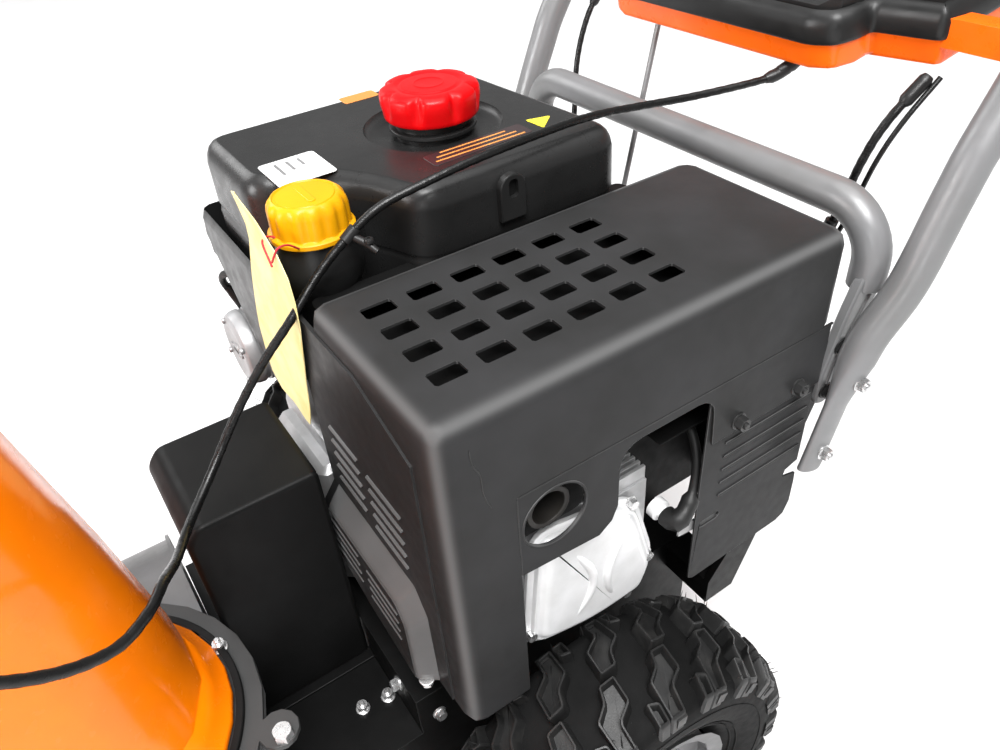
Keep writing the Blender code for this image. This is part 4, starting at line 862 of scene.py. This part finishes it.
def make_tag():
    """Blank hang tag on its thread."""
    rows = [(646, -37, -30), (640, -31, 4), (628, -21, 34), (616, -22, 46), (600, -30, 50),
            (580, -39, 49), (560, -47, 43), (540, -56, 36), (520, -65, 27), (500, -71, 19),
            (484, -75, 12), (468, -75, 4), (458, -60, -2)]
    wide, thick = 9, 0.6
    front, back = [], []
    for z, left, right in rows:
        for k in range(wide):
            x = left + (right - left) * k / (wide - 1)
            y = -143.2 - 2.4 * sin((646 - z) / 60) ** 2 - 0.5 * cos(k * 0.9)
            front.append((x, y, z))
            back.append((x, y + thick, z))
    count = len(front)
    faces = []
    for i in range(len(rows) - 1):
        for k in range(wide - 1):
            a, b = i * wide + k, (i + 1) * wide + k
            faces += [(a, a + 1, b + 1, b), (count + a, count + b, count + b + 1, count + a + 1)]
        for k in (0, wide - 1):
            a, b = i * wide + k, (i + 1) * wide + k
            faces.append((a, b, count + b, count + a))
    for i in (0, len(rows) - 1):
        for k in range(wide - 1):
            a = i * wide + k
            faces.append((a, a + 1, count + a + 1, count + a))
    make("hang_tag", Shape().add(front + back, faces), "paper", smooth=60)
    thread = [(30, -146.6, 622), (34, -142, 632), (30, -134, 630), (24, -126, 622),
              (14, -124, 618), (2, -134, 624), (10, -144, 628), (28, -146.8, 618)]
    make("tag_thread", tube(curve_through(thread, 3), 0.7, 8), "thread")


def make_inside():
    """What shows through the arch in the side plate."""
    plug = turned([(5, 182), (9, 183), (9, 190), (6, 191), (6, 199), (4, 200), (3.4, 206)],
                  (0, PLUG_Y, PLUG_Z), "X", 32)
    make("plug_body", plug, "porcelain")
    lead = curve_through([(196, PLUG_Y, PLUG_Z), (206, 57, 394), (205, 70, 404), (196, 84, 430),
                          (178, 92, 452), (150, 90, 470)], 5)
    radii = [8.5] * 4 + [7.0] * 3 + [3.8] * (len(lead) - 7)
    make("plug_boot", tube(lead, radii, 18), "rubber")
    # Near-black sheets behind the arch and round the outlet: painted shade inside the cover
    shade_sheets = slab(pane(106, 300, 193, 519, 6, 3), "Y", 183, 184.6, 0.4)
    shade_sheets.merge(slab(pane(46, 284, 184, 470, 4, 3), "X", 106, 107.6, 0.4))
    shade_sheets.merge(block((107, 46, 470), (193, 184, 471.6), 0.5))
    for z in (330, 400, 450):
        shade_sheets.merge(slab(pane(112, z - 3, 188, z + 3, 2.5), "Y", 184.4, 186, 0.5))
    make("inner_shade_sheets", shade_sheets, "shadow", smooth=36)
    ring = slab(pane(-118, 456, -24, 520, 8, 4), "X", 191, 192.4, 0.4)
    bore = turned([(0.1, 180), (18.2, 180), (18.2, 200), (0.1, 200)], (0, OUTLET_Y, OUTLET_Z),
                  "X", 48)
    make("outlet_shade_ring", carve(ring, bore), "shadow", smooth=36)
    arm = rounded([(60, 372), (104, 366), (106, 376), (62, 384)], 3, 3)
    make("plug_bracket", slab(arm, "X", 204.4, 206.2, 0.4), "cast_aluminium")


# ---- tubes, handles and cables ----
def make_hoop():
    """The bent cross tube with its flattened feet."""
    y, foot, bend, bend_z = 236, 205, 40, 554
    right = [Vector((foot, y, 536)), Vector((foot, y, bend_z))]
    right += [Vector((foot - bend + bend * cos(a), y, bend_z + bend * sin(a)))
              for a in [pi / 2 * i / 10 for i in range(1, 11)]]
    left = [Vector((-p.x, p.y, p.z)) for p in reversed(right)]
    hoop = tube(right + left, 13.9, 32, flat=(0, 1, 0))
    plate = rounded([(197, 440), (212, 436), (222, 490), (250, 534), (249, 552), (224, 552),
                     (212, 520), (198, 470)], 8, 4)
    ridge = ((205, 452), (211, 482), (226, 514), (236, 534))
    bolts = Shape()
    for s in (-1, 1):
        hoop.merge(slab(plate, "X", s * 202.9, s * 211.7, 1.6))
        hoop.merge(tube(curve_through([(s * 211.5, y, z) for y, z in ridge], 4), 1.8, 10))
        spots = [(s * 211.8, 206, 452), (s * 211.8, 213, 492)]
        bolts.merge(hex_bolts(spots, "X", s, 5.4, stud=3))
    make("hoop_tube", hoop, "grey_paint", "cross_tube", 40)
    make("hoop_bolts", bolts, "dark_steel")


def handle_path(s):
    """Middle line of a handle, from its foot that leans in to the end of its grip."""
    rows = [(HANDLE_X - 9, 184, 392), (HANDLE_X - 8.6, 188, 408), (HANDLE_X - 8, 203, 466),
            (HANDLE_X - 6, 215, 508)]
    rows += [(HANDLE_X, y, z) for y, z in (
        (237, 550), (263, 610), (285, 652), (354, 748), (452, 830), (545, 894), (620, 923),
        (660, 933.3), (736.5, 953))]
    return curve_through([(s * x, y, z) for x, y, z in rows], 9)


def grip_cover(s):
    """Ribbed soft grip over the end of a handle."""
    start, end = Vector((s * HANDLE_X, 646, 929.7)), Vector((s * HANDLE_X, 736.5, 953))
    along = (end - start).normalized()
    length = (end - start).length + 4
    widest, count = 18.0, 66
    spots, radii = [], []
    for i in range(count + 1):
        d = i / count * length
        r = 17.2 + 0.5 * cos(TAU * d / 7.5)
        if d < 5:
            r = widest
        if d > length - 7:
            r = sqrt(max(widest ** 2 - ((d - length + 7) * 2.3) ** 2, 4))
        radii.append(min(r, widest))
        spots.append(start + along * d)
    return tube(spots, radii, 36)


def make_handles():
    """Handle tubes with flattened feet, their grips and bolts."""
    for side, s in (("left", 1), ("right", -1)):
        path = handle_path(s)
        thin = [min(1.0, max(0.42, 0.42 + (p.z - 452) / 70)) for p in path]
        run = tube(path, 13.8, 32, flat=(1, 0, 0), squeeze=thin)
        make("handle_tube_" + side, run, "grey_paint", "handle_" + side, 40)
        make("grip_cover_" + side, grip_cover(s), "rubber", "grip_" + side, 50)
        spots = [(s * 232.8, 189, 410), (s * 237.4, 206, 476)]
        make("handle_bolts_" + side, hex_bolts(spots, "X", s, 5.0, stud=2.0), "steel")


def fitting(path, radius, length):
    """Sleeve over the start of a path."""
    run, total = [path[0]], 0
    for a, b in zip(path, path[1:]):
        total += (b - a).length
        run.append(b)
        if total > length:
            break
    radii = [radius * (0.72 if i in (0, len(run) - 1) else 1) for i in range(len(run))]
    return tube(run, radii, 18)


def make_cables():
    """Held control cables, on the CAD's routes."""
    routes = (
        ("traction_cable", 3.3, [(176, 300, 668), (168, 276, 640), (160, 268, 609),
            (149, 262, 553), (132, 240, 480), (104, 214, 400), (80, 190, 330), (70, 172, 290),
            (66, 164, 262)]),
        ("auger_cable", 2.9, [(-200, 318, 668), (-200, 297, 640), (-196, 280, 600),
            (-184, 266, 546), (-160, 240, 470), (-124, 206, 380), (-98, 186, 310),
            (-92, 176, 262)]),
        ("chute_cable", 3.0, [(71, 284, 655), (63, 265, 647), (45, 211, 643), (33, 161, 644),
            (32, 121, 648), (38, 80, 652), (48, 3, 654), (46, -43, 648), (41, -72, 640),
            (39, -95, 627), (40, -121, 609), (46, -149, 587), (47, -175, 564), (52, -202, 538),
            (64, -229, 513), (90, -256, 502), (124, -270, 514), (161, -279, 541), (183, -292, 547),
            (199, -312, 553), (209, -342, 574), (215, -384, 620), (214, -420, 668),
            (204, -442, 706), (200, -448, 728)]))
    metal = Shape()
    ends = Shape()
    for name, radius, points in routes:
        path = curve_through(points, 3)
        radii = [radius + 0.12 * sin(i * 1.9) for i in range(len(path))]
        make(name + "_jacket", tube(path, radii, 16), "jacket", name, 60)
        ends.merge(fitting(path, radius + 2.0, 22))
        metal.merge(fitting(path[::-1], radius + (0.8 if name == "chute_cable" else 1.8), 20))

    # The clip that holds the chute's cable to the oil filler, and the console end
    clip = turned([(3.6, -6), (4.3, -5.4), (4.3, 5.4), (3.6, 6)], (0, 0, 0), "Z", 20)
    lean = Vector((1, -26, -18)).normalized().to_track_quat("Z", "Y").to_matrix().to_4x4()
    ends.merge(clip.moved(Matrix.Translation((39, -95, 627)) @ lean))
    ends.merge(tube([(41, -93, 625), (48, -88, 622), (54, -84, 617)], [3.0, 3.0, 2.4], 12))
    ends.merge(cap_screw((50, -87, 624), "Z", 1, 3.4))
    ends.merge(tube([(67, 275, 651.5), (71, 284, 655.5), (74, 293, 664)], [4.2, 5.4, 6.0], 18))

    # A lamp lead strapped to the traction cable
    twin = curve_through([(183, 303, 668), (177, 280, 640), (169, 271, 609), (157, 265, 553),
                          (139, 243, 480), (110, 217, 400), (86, 193, 330), (76, 174, 286)], 3)
    make("lamp_lead", tube(twin, 2.0, 12), "jacket")
    for at, on in (((150, 262, 558), (148, 261, 548)), ((106, 215, 404), (101, 212, 396))):
        ends.merge(tube([at, on], 5.2, 16))
    make("cable_sleeves", ends, "black_plastic")
    make("cable_ferrules", metal, "steel")


# ---- snow head ----
def make_head_details():
    """Bolts, bearing covers and nuts of the snow head and the chute's collar."""
    head = Shape()
    y0, z0 = -618, 142
    cover = turned([(22, 309.5), (24, 311), (24, 314), (21, 316.4), (13, 317.5), (12, 319.6),
                    (0.1, 319.6)], (0, y0, z0), "X", 32)
    for s in (-1, 1):
        shoe = [(s * 315.8, y, 63) for y in (-614, -670)]
        head.merge(hex_bolts(shoe, "X", s, 5.6, stud=1.4))
        head.merge(cover.moved(Matrix.Diagonal((s, 1, 1, 1))))
        spots = [(s * 313.4, y, z) for y, z in circle((y0, z0), 17.5, 3, 0.5)]
        head.merge(hex_bolts(spots, "X", s, 3.4, washer=False))
    make("head_bolts", head, "steel")
    ring = hex_bolt((168, -258, 365), "Z", 1, 6.2, washer=False)
    ring.merge(hex_bolt((77, -271, 365.4), "Z", 1, 4.4, stud=4))
    spots = ((103, -168), (100, -191), (-103, -168), (-100, -191))
    ring.merge(hex_bolts([(x, y, 227.2) for x, y in spots], "Z", 1, 4.6, stud=3))
    make("ring_bolts", ring, "steel")
    make("deck_bolt", hex_bolt((160, -146, 262), "X", 1, 4.2), "steel")


def make_chute_details():
    """Painted shade: a near-black ring between the chute's flange and collar; and the cable's
    bracket.
    """
    centre = (99, -371, 0)
    rows = [(99.3, 364.9), (104.4, 364.9), (104.4, 369.0), (103.8, 369.5), (99.9, 369.5),
            (99.3, 369.1)]
    make("chute_gap_shade", turned(rows, centre, "Z", 96, looped=True), "shadow")
    plate = rounded([(172.5, -458), (206, -455), (206, -441), (172.5, -434)], 4, 3)
    arm = slab(plate, "Z", 715.5, 718.0, 0.5)
    arm.merge(slab(pane(-458, 700, -434, 718, 3, 3), "X", 174.6, 177.0, 0.4))
    arm.merge(cap_screw((177, -446, 708), "X", 1, 4.0))
    make("cable_bracket", arm, "dark_steel", body="chute")


def make_vent_shade_sheet():
    """Near-black sheet under the cover's vents: painted shade seen through them."""
    outline = rounded([(24, -128), (207, -128), (207, 184), (66, 184), (66, 148), (24, 148)], 8, 3)
    make("vent_shade_sheet", slab(outline, "Z", 580.6, 582.2, 0.4), "shadow")


def make_console_lip():
    """Skirt of the black hood, lapped over the orange tray."""
    near, x0, y0, z0 = 312, -12, 274, 659
    half, wide, r = 130, 182, 24
    plan = [(-half + r, y0), (half - r, y0), (half - 0.3 * r, y0 + 0.3 * r), (half, y0 + r),
            (half, near), (wide, near + 9), (wide, y0 + 205), (-wide, y0 + 205),
            (-wide, near + 9), (-half, near), (-half, y0 + r), (-half + 0.3 * r, y0 + 0.3 * r)]
    outline = rounded([(x0 + x, y) for x, y in plan], 6, 3)
    rows = [(0.3, 21), (-1.6, 20.4), (-2.4, 21.4), (-2.6, 24), (-2.0, 32), (0.4, 38.0),
            (4.2, 41.6), (8.0, 42.6), (8.0, 38.0), (0.3, 35.6)]
    skirt = skin([[(x, y, z0 + z) for x, y in inset(outline, amount)] for amount, z in rows],
                 looped=True)
    middle = Vector((0, y0, z0))
    lean = (Matrix.Translation(middle) @ Matrix.Rotation(radians(10), 4, "X")
            @ Matrix.Translation(-middle))
    make("console_lip", skirt.moved(lean), "black_plastic", smooth=50)


def make_floor_and_light():
    """White room: a paper floor, four area lamps and a wide soft sun."""
    scene = bpy.context.scene
    world = bpy.data.worlds.new("studio")
    scene.world = world
    world.use_nodes = True
    nodes, link = world.node_tree.nodes, world.node_tree.links.new
    room = nodes["Background"]
    room.inputs[0].default_value = (1, 1, 1, 1)
    room.inputs[1].default_value = 0.45
    paper = nodes.new("ShaderNodeBackground")
    paper.inputs[1].default_value = 0.92
    choose = nodes.new("ShaderNodeMixShader")
    link(nodes.new("ShaderNodeLightPath").outputs["Is Camera Ray"], choose.inputs[0])
    link(room.outputs[0], choose.inputs[1])
    link(paper.outputs[0], choose.inputs[2])
    link(choose.outputs[0], nodes["World Output"].inputs[0])
    reach, drop = 9, -0.0005
    mesh = bpy.data.meshes.new("floor")
    mesh.from_pydata([(x, y, drop) for x, y in pane(-reach, -reach, reach, reach)], [],
                     [(0, 1, 2, 3)])
    mesh.materials.append(surface("floor_paper", (grey(0.66), grey(0.68)), 0.85, bump=0.02,
                                  specular=0.1))
    floor = add_object("floor", mesh)
    for name, place_at, aim, width, power in (
            ("key", (1.5, -0.7, 3.3), (0, -0.1, 0.4), 1.5, 190),
            ("side", (2.6, -2.4, 1.3), (0, 0, 0.4), 0.9, 14),
            ("front", (-0.5, -3.2, 1.5), (0, -0.1, 0.4), 1.3, 85),
            ("back", (-3.2, -1.2, 2.4), (0, 0, 0.5), 1.8, 46)):
        data = bpy.data.lights.new(name, "AREA")
        data.size = width
        data.energy = power
        lamp = add_object(name, data)
        lamp.location = place_at
        lamp.rotation_euler = (Vector(aim) - Vector(place_at)).to_track_quat("-Z", "Y").to_euler()
    sun = bpy.data.lights.new("top", "SUN")
    sun.angle = radians(60)
    sun.energy = 2.2
    add_object("top", sun)
    scene.view_settings.view_transform = "Standard"
    scene.view_settings.look = "None"


def make_all():
    make_camera()
    make_floor_and_light()
    make_cables()
    make_carried_over()
    make_belt_cover()
    make_tank()
    make_tyre("left", 1)
    make_tyre("right", -1)
    make_caps()
    make_rocker_cover()
    make_starter()
    make_cover_details()
    make_tank_details()
    make_tag()
    make_inside()
    make_hoop()
    make_handles()
    make_head_details()
    make_chute_details()
    make_vent_shade_sheet()
    make_console_lip()


make_all()
